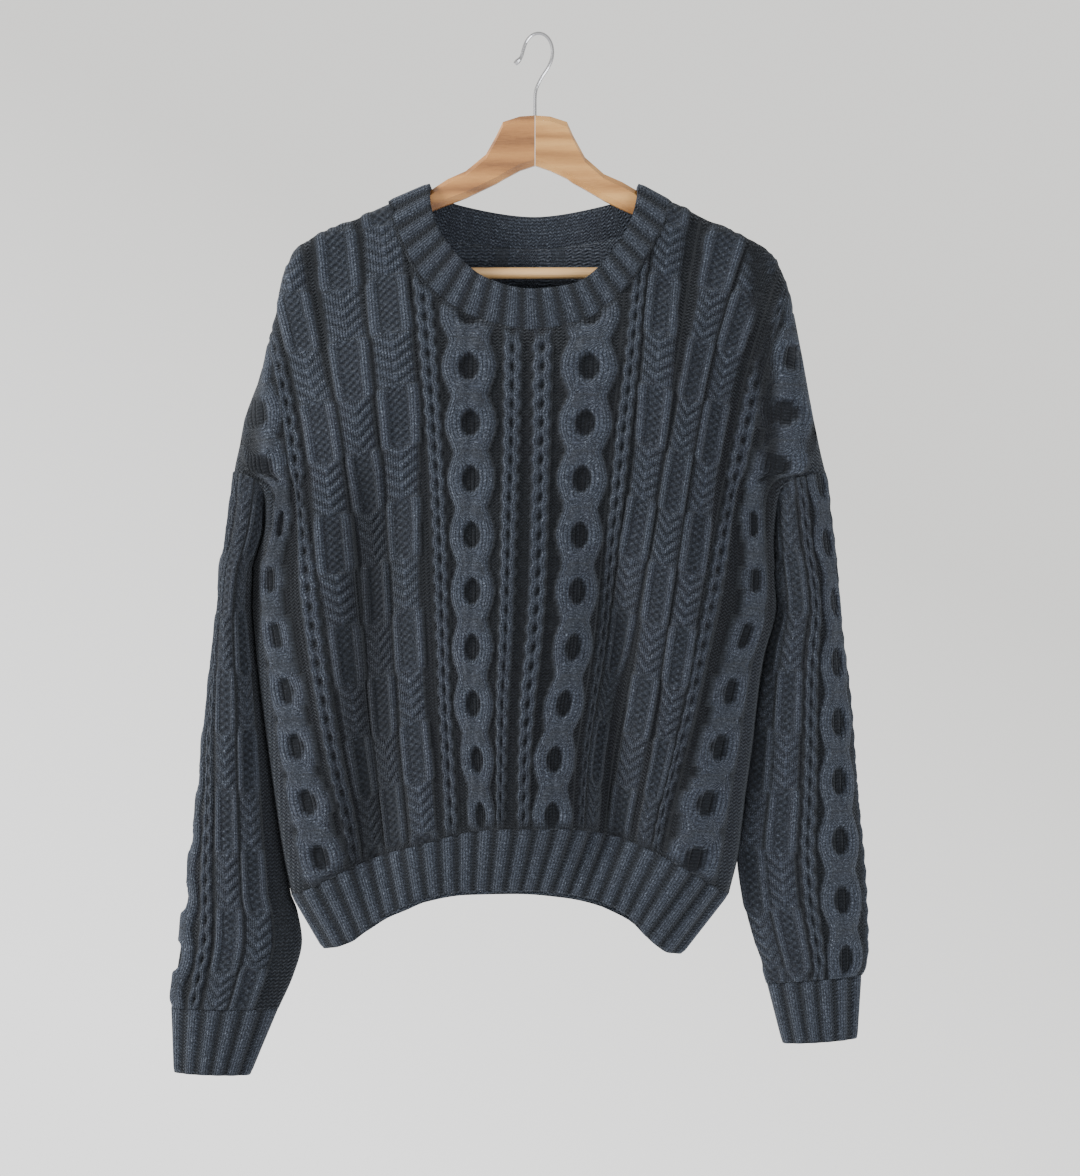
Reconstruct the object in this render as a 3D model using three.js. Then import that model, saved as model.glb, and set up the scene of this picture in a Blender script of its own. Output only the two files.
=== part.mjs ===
import * as THREE from "three";

// Cable knit sweater on a wooden hanger. Millimetres, Z up, X to the viewer's right, the front faces -Y.
// The origin is the underside of the hook's crown. A drop is the distance below it.

// Fabric
const WALL = 2.4; // fabric between the cables
const SEAM = 0.3; // air between pieces that are sewn together
const ARMHOLE_SEAM = 1.0;
const CREASE_SEAM = 1.2;
const THIN = -0.8; // less fabric outward in the armhole's crease
const INSET = 4.0; // from the seen outline to the middle of the wall
const RELIEF = { chain: 2.7, ring: 3.8, loop: 3.2, strip: 0.8, rib: 2.2 };

// Cable chart: one row line is a third of a ring
const RING_PITCH = 49.1;
const ROW = RING_PITCH / 3;
const RING_DROP = 300; // middle of the first whole ring under the neckband
// row line at the middle of a long loop, each loop repeats after six
const LOOP_PHASE = { loopA: 8, loopB: 5, loopC: 8 };
const COLUMN_NAMES = ["chain1", "ring1", "chain2", "loopA", "loopB", "loopC", "chain3", "ring2"];
const COLUMN_WEIGHT = [0.8, 2.4, 0.8, 1.8, 1.7, 1.8, 0.8, 2.4];
const ROW_SAG = [0, 0, 0, 4.5, 9.8, 19.6, 24.1, 30.4, 39.3, 42.9]; // centre, the eight columns, edge

// Sleeves
const SLEEVE_RING_DROP = 454;
const SLEEVE_ROW = 17.6;
const RIGHT_TWIST = 0.118; // share of the girth that the right sleeve is turned to the front

// Ribbing
const HEM_RIBS = 26; // on each of front and back
const NECK_RIBS = 36;
const CUFF_RIBS = 12;
const BACK_HEM_LOWER = 9;

// Hanger
const ARM_THICK = 12;
const ARM_EDGE = 5;
const BAR_RADIUS = 5.1;
const BAR_DROP = 212.7;
const BAR_ENDS = [-179.5, 169.5];
const WIRE_RADIUS = 1.5;

// columns: x, drop
const SHOULDER_LEFT = [
  [-96.4, 134.8],
  [-116.1, 142],
  [-138.4, 150.9],
  [-169.6, 164.3],
  [-192, 173.2],
  [-208, 181.2],
  [-218.7, 190.2],
  [-226.8, 203.6],
  [-232.1, 218.7],
  [-236.6, 241.1],
  [-242.9, 267.9],
  [-249.1, 292],
  [-256.2, 312.5],
  [-262.5, 330.4],
  [-267, 348.2],
  [-271.4, 370.5],
  [-275.9, 391.1],
];
// columns: x, drop
const SHOULDER_RIGHT = [
  [85.7, 135.7],
  [107.1, 142.9],
  [129.5, 152.7],
  [152.7, 164.3],
  [180.4, 176.8],
  [196.4, 183.9],
  [208, 194.6],
  [217, 208],
  [223.2, 225.9],
  [227.7, 246.4],
  [232.1, 272.3],
  [236.6, 294.6],
  [240.2, 315.2],
  [243.7, 333],
  [248.2, 350.9],
  [252.7, 372.3],
  [257.1, 391.1],
];
// columns: drop, x
const SIDE_LEFT = [
  [475.9, -259.8],
  [509.8, -260.3],
  [549.1, -256.7],
  [583.9, -253.1],
  [638.4, -246],
  [683, -239.7],
  [727.7, -232.6],
  [766.1, -224.6],
];
// columns: drop, x
const SIDE_RIGHT = [
  [475.9, 212.5],
  [509.8, 214.3],
  [557.1, 202.2],
  [593.8, 196.9],
  [627.7, 193.3],
  [683, 185.7],
  [727.7, 180.4],
  [763.4, 171.9],
];
// columns: drop, centre, chain1, ring1, chain2, loopA, loopB, loopC, chain3
const COLUMNS_LEFT = [
  [183, -9.8, -24.1, -62.5, -107.1, -138.4, -181.2, -227.7, -254.5],
  [236.6, -9.8, -24.1, -62.5, -102.7, -133.9, -175, -218.7, -243.7],
  [299.1, -10.7, -24.1, -62.5, -97.3, -126.8, -166.1, -204.5, -229.5],
  [352.7, -11.6, -25, -60.7, -92.9, -122.3, -158.9, -192, -219.6],
  [415.2, -13.4, -26.8, -59.8, -89.3, -119.6, -150.9, -184.8, -211.6],
  [486.6, -15.2, -28.6, -58.9, -86.6, -117, -144.6, -178.6, -204.5],
  [540.2, -17, -30.4, -58.9, -84.8, -114.3, -142, -171.4, -198.2],
  [593.8, -19.6, -33, -58, -83, -111.6, -138.4, -165.2, -190.2],
  [647.3, -22.3, -33.9, -54.5, -80.4, -107.1, -133.9, -158, -181.2],
  [709.8, -23.2, -34.8, -50.9, -77.7, -101.8, -127.7, -149.1, -167.9],
  [766.1, -24.1, -35.7, -49.1, -75.9, -98.2, -123.2, -142.9, -158.9],
];
// columns: drop, centre, chain1, ring1, chain2, loopA, loopB, loopC, chain3
const COLUMNS_RIGHT = [
  [183, -9.8, 2.7, 44.6, 91.1, 114.3, 165.2, 205.4, 232.1],
  [236.6, -9.8, 2.7, 44.6, 85.7, 108, 151.8, 183, 214.3],
  [299.1, -10.7, 1.8, 42.9, 79.5, 102.7, 136.6, 162.5, 193.7],
  [352.7, -11.6, 0.9, 39.3, 73.2, 98.2, 126.8, 150.9, 180.4],
  [415.2, -13.4, -0.9, 35.7, 67, 89.3, 116.1, 141.1, 167],
  [486.6, -15.2, -2.7, 32.1, 59.8, 78.6, 105.4, 131.2, 153.6],
  [540.2, -17, -6.2, 28.6, 53.6, 70.5, 98.2, 123.2, 142.9],
  [593.8, -19.6, -11.6, 20.5, 45.5, 58, 90.2, 115.2, 132.1],
  [647.3, -22.3, -14.3, 11.6, 38.4, 49.1, 80.4, 105.4, 118.7],
  [709.8, -23.2, -15.2, 9.8, 34.8, 44.6, 69.6, 92.9, 104.5],
  [766.1, -24.1, -16.1, 8.9, 33, 41.1, 62.5, 85.7, 96.4],
];
// columns: drop, outer x, inner x, half depth, middle y
const SLEEVE_LEFT = [
  [375, -270.5, -231.2, 26, 0],
  [391.1, -275.9, -233, 27, 0],
  [406.2, -275.9, -235.7, 27, 0],
  [422.3, -277.7, -237.5, 26, 0],
  [443.7, -281.2, -241.1, 26, 0],
  [462.5, -283.9, -248.2, 27, 0],
  [475.9, -286.6, -253.6, 28, 0],
  [509.8, -290.2, -257.1, 30, 4],
  [549.1, -294.6, -253.1, 31, 8],
  [583.9, -297.3, -247.8, 31, 9],
  [638.4, -303.6, -240.6, 30, 9],
  [683, -308, -234.4, 28, 8],
  [727.7, -313.4, -227.2, 26, 7],
  [754.5, -316.1, -222.8, 24, 6],
  [766.1, -317, -221, 23, 5],
  [783, -319.6, -214.3, 22, 4],
  [808, -323.2, -210.7, 21, 3],
  [839.3, -328.6, -218.7, 19, 2],
  [867.9, -332.1, -230.4, 18, 0],
];
// columns: drop, outer x, inner x, half depth, middle y
const SLEEVE_RIGHT = [
  [375, 253.6, 194.6, 26, 0],
  [391.1, 257.1, 196.4, 27, 0],
  [406.2, 258.9, 199.1, 27, 0],
  [422.3, 259.8, 201.8, 26, 0],
  [443.7, 262.5, 203.6, 26, 0],
  [462.5, 265.2, 205.4, 27, 0],
  [475.9, 267, 208, 28, 0],
  [509.8, 270.5, 212.5, 30, 4],
  [549.1, 274.1, 202.7, 31, 8],
  [583.9, 277.7, 196.4, 31, 9],
  [638.4, 283, 189.7, 30, 9],
  [683, 286.6, 183.9, 28, 8],
  [727.7, 290.2, 176.8, 26, 7],
  [772.3, 292.9, 180.4, 23, 5],
  [808, 294.6, 189.3, 21, 3],
  [825.9, 293.8, 195.5, 19, 2],
  [843.7, 287.5, 199.1, 18, 0],
];
// columns: angle, drop
const ARMHOLE = [
  [0, 391.1],
  [45, 392.9],
  [80, 395.5],
  [105, 399.1],
  [125, 405.4],
  [140, 415.2],
  [152, 429.5],
  [163, 447.3],
  [172, 462.5],
  [180, 475.9],
];
// columns: angle, top x, top drop, top y, seam x, seam drop, seam y
const NECK = [
  [0, -97.3, 134.4, 0, -132.1, 149.1, 0],
  [7, -97.3, 136.6, -8, -131.7, 151.8, -8.5],
  [16, -97.3, 145.5, -13, -130.4, 163.4, -13.5],
  [32, -92.9, 167, -17, -121.4, 187.5, -18],
  [52, -75.9, 195.5, -20, -100, 225, -22],
  [72, -45.5, 220.5, -23, -55.4, 256.2, -25],
  [90, -8.9, 229.5, -24, -7.1, 266.1, -26],
  [108, 28.6, 225, -23, 41.1, 256.2, -25],
  [128, 59.8, 200.9, -20, 77.7, 224.1, -22],
  [148, 79.5, 168.7, -17, 100, 186.6, -18],
  [164, 85.7, 145.5, -13, 111.6, 163.4, -13.5],
  [173, 86.6, 136.6, -8, 113.8, 151.8, -8.5],
  [180, 86.6, 134.4, 0, 114.3, 149.1, 0],
  [187, 86.2, 136.6, 8, 113.4, 151.8, 9],
  [200, 80.4, 142, 13, 103.6, 167, 15],
  [230, 55.4, 150, 17, 55.4, 182.1, 20],
  [270, -5.4, 158.9, 20, -7.1, 188.4, 24],
  [310, -67.9, 150, 17, -72.3, 182.1, 20],
  [340, -91.1, 142, 13, -119.6, 167, 15],
  [353, -96.4, 136.6, 8, -131.2, 151.8, 9],
];
// columns: x, drop
const RIB_TOP = [
  [-227.7, 768.7],
  [-214.3, 765.2],
  [-198.2, 758],
  [-169.6, 743.7],
  [-133.9, 729.5],
  [-98.2, 718.7],
  [-62.5, 708.9],
  [-35.7, 706.2],
  [17.9, 706.2],
  [53.6, 711.6],
  [89.3, 722.3],
  [125, 740.2],
  [147.3, 754.5],
  [164.3, 765.2],
  [174.1, 769.6],
];
// columns: x, drop
const HEM_FRONT = [
  [-196.4, 814.3],
  [-183, 812.5],
  [-167, 807.1],
  [-153.6, 797.3],
  [-136.6, 783.9],
  [-121.4, 775.9],
  [-103.6, 767.9],
  [-66.1, 761.6],
  [-21.4, 760.7],
  [23.2, 764.3],
  [51.8, 770.5],
  [67.9, 777.7],
  [82.1, 787.5],
  [97.3, 805.4],
  [114.3, 817],
  [129.5, 818.7],
];
// columns: x, top drop, bottom drop
const ARM_LEFT = [
  [-4.7, 72.3, 117],
  [-17.9, 73.2, 121.4],
  [-33, 78.1, 129.5],
  [-38.8, 90.2, 133],
  [-48.2, 107.1, 137.5],
  [-66.1, 121.9, 146],
  [-82.1, 129, 151.8],
  [-94.6, 137.1, 156.7],
  [-103.6, 143.8, 160.7],
  [-114.3, 151.8, 165.2],
  [-125, 155.4, 170.5],
  [-155.4, 169.6, 183.9],
  [-178.6, 181.2, 197.3],
  [-182.1, 183, 219.6],
  [-189.3, 188.4, 224.1],
  [-195.5, 195.5, 225],
  [-199.1, 205.4, 222.3],
];
// columns: x, top drop, bottom drop
const ARM_RIGHT = [
  [-4.2, 72.3, 117],
  [8.9, 73.2, 121.4],
  [24.1, 78.1, 128.6],
  [29.5, 90.2, 132.6],
  [40.2, 109.8, 138.4],
  [57.1, 124.6, 148.2],
  [73.2, 131.7, 156.2],
  [84.8, 138.4, 161.2],
  [94.6, 147.3, 165.2],
  [116.1, 159.4, 173.2],
  [146.4, 171.4, 185.7],
  [167.9, 181.2, 197.3],
  [171.4, 183.5, 219.6],
  [178.6, 188.4, 224.1],
  [184.8, 195.5, 225],
  [188.4, 204.5, 222.3],
];
// columns: x, drop
const HOOK = [
  [-4.5, 72],
  [-4.5, 63.4],
  [-4.5, 58],
  [-3.6, 49.1],
  [1.3, 38.4],
  [8, 27.7],
  [11, 18.7],
  [10.3, 8.9],
  [6.2, 1.6],
  [0, -1.5],
  [-6.7, 0],
  [-12.1, 5.8],
  [-14.9, 13.4],
  [-17, 20.1],
  [-22.3, 25.9],
];
// columns: drop, x
const EDGE_LEFT = [
  [183, -325.9],
  [236.6, -312.5],
  [299.1, -296.4],
  [352.7, -283.9],
  [375, -277.7],
  [391.1, -271.4],
  [398.2, -250.9],
  [405.4, -243.7],
  [415.2, -241.1],
  [429.5, -241.1],
  [447.3, -243.7],
  [462.5, -249.1],
  [475.9, -254.5],
  [509.8, -256.2],
  [549.1, -252.7],
  [583.9, -249.1],
  [638.4, -242],
  [683, -235.7],
  [727.7, -228.6],
  [766.1, -220.5],
];
// columns: drop, x
const EDGE_RIGHT = [
  [183, 299.1],
  [236.6, 287.5],
  [299.1, 276.8],
  [352.7, 266.1],
  [375, 258.9],
  [391.1, 252.7],
  [398.2, 219.6],
  [405.4, 211.6],
  [415.2, 208],
  [429.5, 206.2],
  [447.3, 206.2],
  [462.5, 208],
  [475.9, 208.9],
  [509.8, 210.3],
  [557.1, 198.2],
  [593.8, 192.9],
  [627.7, 189.3],
  [683, 181.7],
  [727.7, 176.3],
  [763.4, 167.9],
];

// Cuff ends: top outer, top inner, bottom outer, bottom inner as x and drop
const CUFF_LEFT = {
  topOuter: [-332.1, 867.9],
  topInner: [-230.4, 867.9],
  endOuter: [-328.6, 925],
  endInner: [-256.2, 927],
};
const CUFF_RIGHT = {
  topOuter: [287, 838],
  topInner: [197, 845.5],
  endOuter: [285, 894.6],
  endInner: [214.3, 899],
};

const RELIEF_GREY = 0x4a5462;
const wool = () => new THREE.MeshStandardMaterial({ color: RELIEF_GREY, roughness: 0.95 });
const wood = (color) => new THREE.MeshStandardMaterial({ color, roughness: 0.55 });
const metal = () => new THREE.MeshStandardMaterial({ color: 0xc8c8c8, metalness: 1, roughness: 0.25 });

const clamp = (v, a = 0, b = 1) => Math.min(b, Math.max(a, v));
const mix = (a, b, t) => a + (b - a) * t;
const step = (a, b, v) => {
  const t = clamp((v - a) / (b - a));
  return t * t * (3 - 2 * t);
};

// Smooth reading of a table: rows of numbers, first by column from, read column to.
function reader(rows, from, to) {
  const up = rows[rows.length - 1][from] > rows[0][from];
  const list = up ? rows : [...rows].reverse();
  const x = list.map((r) => r[from]);
  const y = list.map((r) => r[to]);
  const n = x.length;
  const slope = x.slice(1).map((v, i) => (y[i + 1] - y[i]) / (v - x[i]));
  const m = x.map((_, i) => {
    if (i === 0) return slope[0];
    if (i === n - 1) return slope[n - 2];
    return slope[i - 1] * slope[i] <= 0 ? 0 : (2 * slope[i - 1] * slope[i]) / (slope[i - 1] + slope[i]);
  });
  return (v) => {
    if (v <= x[0]) return y[0] + m[0] * (v - x[0]);
    if (v >= x[n - 1]) return y[n - 1] + m[n - 1] * (v - x[n - 1]);
    let i = 0;
    while (v > x[i + 1]) i++;
    const h = x[i + 1] - x[i];
    const t = (v - x[i]) / h;
    const a = y[i] * (1 + 2 * t) * (1 - t) ** 2 + m[i] * h * t * (1 - t) ** 2;
    return a + y[i + 1] * t * t * (3 - 2 * t) + m[i + 1] * h * t * t * (t - 1);
  };
}

// A line of points moved sideways by a distance, as x and drop.
function inset(points, distance) {
  return points.map((p, i) => {
    const a = points[Math.max(0, i - 1)];
    const b = points[Math.min(points.length - 1, i + 1)];
    const length = Math.hypot(b[0] - a[0], b[1] - a[1]);
    return [p[0] - (distance * (b[1] - a[1])) / length, p[1] + (distance * (b[0] - a[0])) / length];
  });
}

// Nearest point of a line of points: distance and the point's own place and values.
function nearest(points, x, drop) {
  let best = { distance: 1e9 };
  for (let i = 0; i < points.length - 1; i++) {
    const [ax, ad] = points[i];
    const [bx, bd] = points[i + 1];
    const l = (bx - ax) ** 2 + (bd - ad) ** 2;
    const t = clamp(((x - ax) * (bx - ax) + (drop - ad) * (bd - ad)) / l);
    const distance = Math.hypot(x - mix(ax, bx, t), drop - mix(ad, bd, t));
    if (distance < best.distance) {
      best = { distance, drop: mix(ad, bd, t), x: mix(ax, bx, t), at: i + t };
    }
  }
  return best;
}

const roundEdge = (d, length, depth) => depth * Math.sqrt(1 - (1 - clamp(d / length)) ** 2);

// Sleeves: an oval at each drop.
// Angle 0 is the outer edge, a quarter turn the front, half a turn the inner edge.
function sleeveOf(sign) {
  const rows = sign < 0 ? SLEEVE_LEFT : SLEEVE_RIGHT;
  const [outer, inner, depth, middle] = [1, 2, 3, 4].map((c) => reader(rows, 0, c));
  const cuff = sign < 0 ? CUFF_LEFT : CUFF_RIGHT;
  const twist = sign < 0 ? 0 : RIGHT_TWIST;
  const armhole = reader(ARMHOLE, 0, 1);
  const point = (angle, drop) => {
    const a = outer(drop) - sign * INSET;
    const b = inner(drop) + sign * INSET;
    const x = (a + b) / 2 + ((a - b) / 2) * Math.cos(angle);
    return [x, middle(drop) - (depth(drop) - INSET) * Math.sin(angle), -drop];
  };
  const STEPS = 96;
  const angleOf = (share, drop) => {
    const whole = Math.floor(share);
    const table = [0];
    let last = point(0, drop);
    for (let i = 1; i <= STEPS; i++) {
      const p = point((i / STEPS) * 2 * Math.PI, drop);
      table.push(table[i - 1] + Math.hypot(p[0] - last[0], p[1] - last[1]));
      last = p;
    }
    const goal = (share - whole) * table[STEPS];
    let i = 0;
    while (i < STEPS - 1 && table[i + 1] < goal) i++;
    return ((i + (goal - table[i]) / (table[i + 1] - table[i])) / STEPS) * 2 * Math.PI;
  };
  const foldedDegrees = (angle) => {
    const degrees = (angle * 180) / Math.PI;
    return degrees > 180 ? 360 - degrees : degrees;
  };
  const topOf = (share) => {
    let drop = 430;
    for (let i = 0; i < 24; i++) {
      drop = mix(drop, armhole(foldedDegrees(angleOf(share, drop))), 0.6);
    }
    return drop;
  };
  const endOf = (angle) => mix(cuff.topOuter[1], cuff.topInner[1], (1 - Math.cos(angle)) / 2);
  return { sign, twist, point, angleOf, topOf, endOf, cuff };
}
const sleeveLeft = sleeveOf(-1);
const sleeveRight = sleeveOf(1);

// Body outline in the middle of the wall
const sideX = {
  left: reader(SIDE_LEFT.map(([d, x]) => [d, x + INSET]), 0, 1),
  right: reader(SIDE_RIGHT.map(([d, x]) => [d, x - INSET]), 0, 1),
};
const sides = [
  { name: "left", sign: -1, shoulder: SHOULDER_LEFT, columns: COLUMNS_LEFT,
    edge: EDGE_LEFT, sleeve: sleeveLeft },
  { name: "right", sign: 1, shoulder: SHOULDER_RIGHT, columns: COLUMNS_RIGHT,
    edge: EDGE_RIGHT, sleeve: sleeveRight },
].map((s) => {
  const line = inset(s.shoulder, s.sign * INSET);
  const tip = s.sleeve.point(0, ARMHOLE[0][1]);
  line[line.length - 1] = [tip[0], ARMHOLE[0][1]];
  const lower = [420, 470, 540, 640].map((d) => [s.sleeve.point(0, d)[0], d]);
  // the open way from the armhole's inner corner down the side seam,
  // with how far it lies in front of the middle
  const crease = ARMHOLE.slice(3).map(([degrees, d]) => {
    const p = s.sleeve.point((degrees * Math.PI) / 180, d);
    return [p[0], d, -p[1]];
  });
  const side = [490, 507, 546, 600, 660, 720, 780, 860].map((d) => [sideX[s.name](d), d, 0]);
  return {
    ...s,
    outline: [...line, ...lower],
    shoulderDrop: reader(line, 0, 1),
    crease: [...crease, ...side],
    columnX: COLUMN_NAMES.map((_, i) => reader(s.columns, 0, i + 2)),
    centreX: reader(s.columns, 0, 1),
    edgeX: reader(s.edge, 0, 1),
  };
});

const RING_TWO_SHARE = [[400, 0.5], [484, 0.35], [537, 0.4], [591, 0.46], [645, 0.48], [760, 0.55]];
const ringTwoShare = reader(RING_TWO_SHARE, 0, 1);
const ribTop = reader(RIB_TOP, 0, 1);
const neckFront = NECK.filter((r) => r[0] <= 180);
const neckBack = [...NECK.filter((r) => r[0] >= 180), [360, ...NECK[0].slice(1)]];
const neckLine = (front) => (front ? neckFront : neckBack).map((r) => [r[4], r[5], Math.abs(r[6])]);
const neckDrop = { front: reader(neckLine(true), 0, 1), back: reader(neckLine(false), 0, 1) };
const NECK_LEFT = neckFront[0][4];
const NECK_RIGHT = neckFront[neckFront.length - 1][4];

// How far the middle of the wall lies in front of (or behind) the hanger's plane,
// before the neckline is met.
function plainDepth(x, drop, front) {
  const middle = -11;
  const side = sides[x < middle ? 0 : 1];
  const a = nearest(side.outline, x, drop);
  const b = nearest(side.crease, x, drop);
  const low = step(190, 300, drop);
  const edge = roundEdge(a.distance, mix(8, 22, low), mix(10, 21, low));
  const i = Math.min(Math.floor(b.at), side.crease.length - 2);
  const above = 60 * step(6, -30, drop - side.crease[0][1]);
  const floor = mix(side.crease[i][2], side.crease[i + 1][2], b.at - i) + above;
  const crease = floor + roundEdge(b.distance, 26, 19) + 3 * step(24, 60, b.distance);
  const inner = Math.min(a.distance, b.distance);
  const full = step(150, 330, drop) * mix(1, 0.65, step(560, 710, drop)) * step(0, 120, inner);
  const belly = (front ? 17 : 9) * full;
  const hill = (at, wide) => Math.exp(-(((x - at) / wide) ** 2));
  const calm = step(0, 45, inner);
  const folds = front
    ? -9 * hill(-146, 30) * step(340, 450, drop) - 12 * hill(61, 24) * step(400, 540, drop) +
      3 * hill(-30, 34) * step(330, 460, drop) + 4 * hill(130, 30) * step(300, 420, drop)
    : -7 * hill(-120, 30) * step(300, 470, drop) - 8 * hill(80, 34) * step(380, 520, drop);
  return Math.min(edge, crease) + belly + folds * calm;
}
const neckFix = {};
for (const front of [true, false]) {
  const line = neckLine(front);
  neckFix[front] = { line, lift: line.map(([x, d, y]) => y - plainDepth(x, d, front)) };
}
function panelDepth(x, drop, front) {
  const { line, lift } = neckFix[front];
  const n = nearest(line, x, drop);
  const i = Math.min(Math.floor(n.at), line.length - 2);
  return plainDepth(x, drop, front) + mix(lift[i], lift[i + 1], n.at - i) * Math.exp(-n.distance / 26);
}

// Panel columns: v is 0 at the centre, 8 at the outer ring column's edge and 9 at the side seam.
function lineX(side, v, drop) {
  const edge = side.edgeX(drop);
  const centres = side.columnX.slice(0, 7).map((f) => f(drop));
  centres.push(edge + (centres[6] - edge) * ringTwoShare(drop));
  const bounds = [side.centreX(drop)];
  for (let j = 1; j < 8; j++) {
    const share = COLUMN_WEIGHT[j - 1] / (COLUMN_WEIGHT[j - 1] + COLUMN_WEIGHT[j]);
    bounds.push(mix(centres[j - 1], centres[j], share));
  }
  bounds.push(mix(centres[7], edge, 0.6), edge);
  const j = Math.min(8, Math.floor(v));
  if (j === 8) return mix(bounds[8], edge, v - 8);
  if (v - j < 0.5) return mix(bounds[j], centres[j], 2 * (v - j));
  return mix(centres[j], bounds[j + 1], 2 * (v - j) - 1);
}
function rowSag(v) {
  const at = v >= 7.5 ? 8 + (v - 7.5) / 1.5 : v + 0.5;
  const i = Math.min(8, Math.floor(at));
  return v < 0.5 ? 0 : mix(ROW_SAG[i], ROW_SAG[i + 1], at - i);
}

// Openness of a cable at a row line: 1 where its two strands are apart, 0 where they cross.
const ringOpen = (k) => Math.cos((Math.PI * k) / 3) ** 2;
const loopOpen = (k, phase) => 1 - step(1.7, 2.5, Math.abs(((((k - phase + 3) % 6) + 6) % 6) - 3));

// The lines of a half panel from centre to side: place and height, both by row line.
const flat = (v) => ({ v: () => v, h: () => 0, keep: v === 8 ? false : v % 2 === 0 });
const LINES = [];
COLUMN_NAMES.forEach((name, j) => {
  const mid = j + 0.5;
  if (name.startsWith("chain")) {
    for (const at of [0.28, 0.72]) LINES.push({ v: () => j + at, h: () => RELIEF.chain, keep: false });
  } else if (name.startsWith("ring")) {
    const spread = (k) => 0.09 + 0.22 * ringOpen(k);
    const crest = (k) => RELIEF.ring + 0.5 * (1 - ringOpen(k));
    LINES.push({ v: (k) => mid - spread(k), h: crest, keep: false });
    LINES.push({ v: () => mid, h: (k) => mix(RELIEF.ring + 0.5, 0.5, ringOpen(k)), keep: true });
    LINES.push({ v: (k) => mid + spread(k), h: crest, keep: false });
  } else {
    const open = (k) => loopOpen(k, LOOP_PHASE[name]);
    const spread = (k) => 0.18 + 0.13 * open(k);
    LINES.push({ v: (k) => mid - spread(k), h: () => RELIEF.loop, keep: false });
    LINES.push({ v: () => mid, h: (k) => mix(2.9, 1.1, open(k)), keep: name === "loopB" });
    LINES.push({ v: (k) => mid + spread(k), h: () => RELIEF.loop, keep: false });
  }
  LINES.push(flat(j + 1));
});
LINES.push({ v: () => 8.5, h: () => RELIEF.strip, keep: true });

// A sleeve's lines: share of the girth from the ring column's middle, and height by row line.
const HALF_SLEEVE = [
  { q: (k) => 0.018 + 0.034 * ringOpen(k), h: () => RELIEF.ring },
  { q: () => 0.088, h: () => 0 },
  { q: () => 0.118, h: () => RELIEF.chain },
  { q: () => 0.15, h: () => 0 },
  { q: (k) => 0.193 - 0.009 * loopOpen(k, 2), h: () => RELIEF.loop },
  { q: () => 0.215, h: (k) => mix(2.9, 1.1, loopOpen(k, 2)) },
  { q: (k) => 0.237 + 0.009 * loopOpen(k, 2), h: () => RELIEF.loop },
  { q: () => 0.27, h: () => 0 },
  { q: (k) => 0.305 - 0.009 * loopOpen(k, 5), h: () => RELIEF.loop },
  { q: () => 0.326, h: (k) => mix(2.9, 1.1, loopOpen(k, 5)) },
  { q: (k) => 0.347 + 0.009 * loopOpen(k, 5), h: () => RELIEF.loop },
  { q: () => 0.382, h: () => 0 },
  { q: () => 0.44, h: () => RELIEF.strip },
];
const SLEEVE_LINES = [
  { q: () => 0, h: (k) => mix(RELIEF.ring + 0.5, 0.5, ringOpen(k)) },
  ...HALF_SLEEVE,
  { q: () => 0.5, h: () => RELIEF.strip },
  ...[...HALF_SLEEVE].reverse().map((l) => ({ q: (k) => 1 - l.q(k), h: l.h })),
];

// Triangles between two lists of points, each with a rising place t.
function zipper(a, b, emit) {
  let i = 0;
  let j = 0;
  while (i < a.length - 1 || j < b.length - 1) {
    if (j === b.length - 1 || (i < a.length - 1 && a[i + 1].t <= b[j + 1].t)) {
      emit(a[i].id, b[j].id, a[i + 1].id);
      i++;
    } else {
      emit(a[i].id, b[j].id, b[j + 1].id);
      j++;
    }
  }
}

// A piece of fabric: lines of points in the middle of the wall. The outer face holds every point, raised by
// its height, the plain inner face holds the kept ones, and their borders are joined.
function prepare(name, lines, closed, facing) {
  const points = lines.flat();
  points.forEach((p, id) => Object.assign(p, { id, normal: new THREE.Vector3() }));
  const faces = [];
  const emit = (...f) => faces.push(f);
  const last = lines.length - (closed ? 0 : 1);
  for (let i = 0; i < last; i++) zipper(lines[i], lines[(i + 1) % lines.length], emit);
  const corner = (id) => new THREE.Vector3(...points[id].p);
  for (const f of faces) {
    const [a, b, c] = f.map(corner);
    const n = b.sub(a).cross(c.sub(a));
    for (const id of f) points[id].normal.add(n);
  }
  const middle = new THREE.Vector3();
  points.forEach((p) => middle.add(corner(p.id).divideScalar(points.length)));
  const out = (p) => p.normal.dot(facing ?? corner(p.id).sub(middle));
  const flip = points.reduce((sum, p) => sum + out(p), 0) < 0 ? -1 : 1;
  points.forEach((p) => p.normal.normalize().multiplyScalar(flip));
  return { name, lines, closed, points, faces, flip };
}

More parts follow.
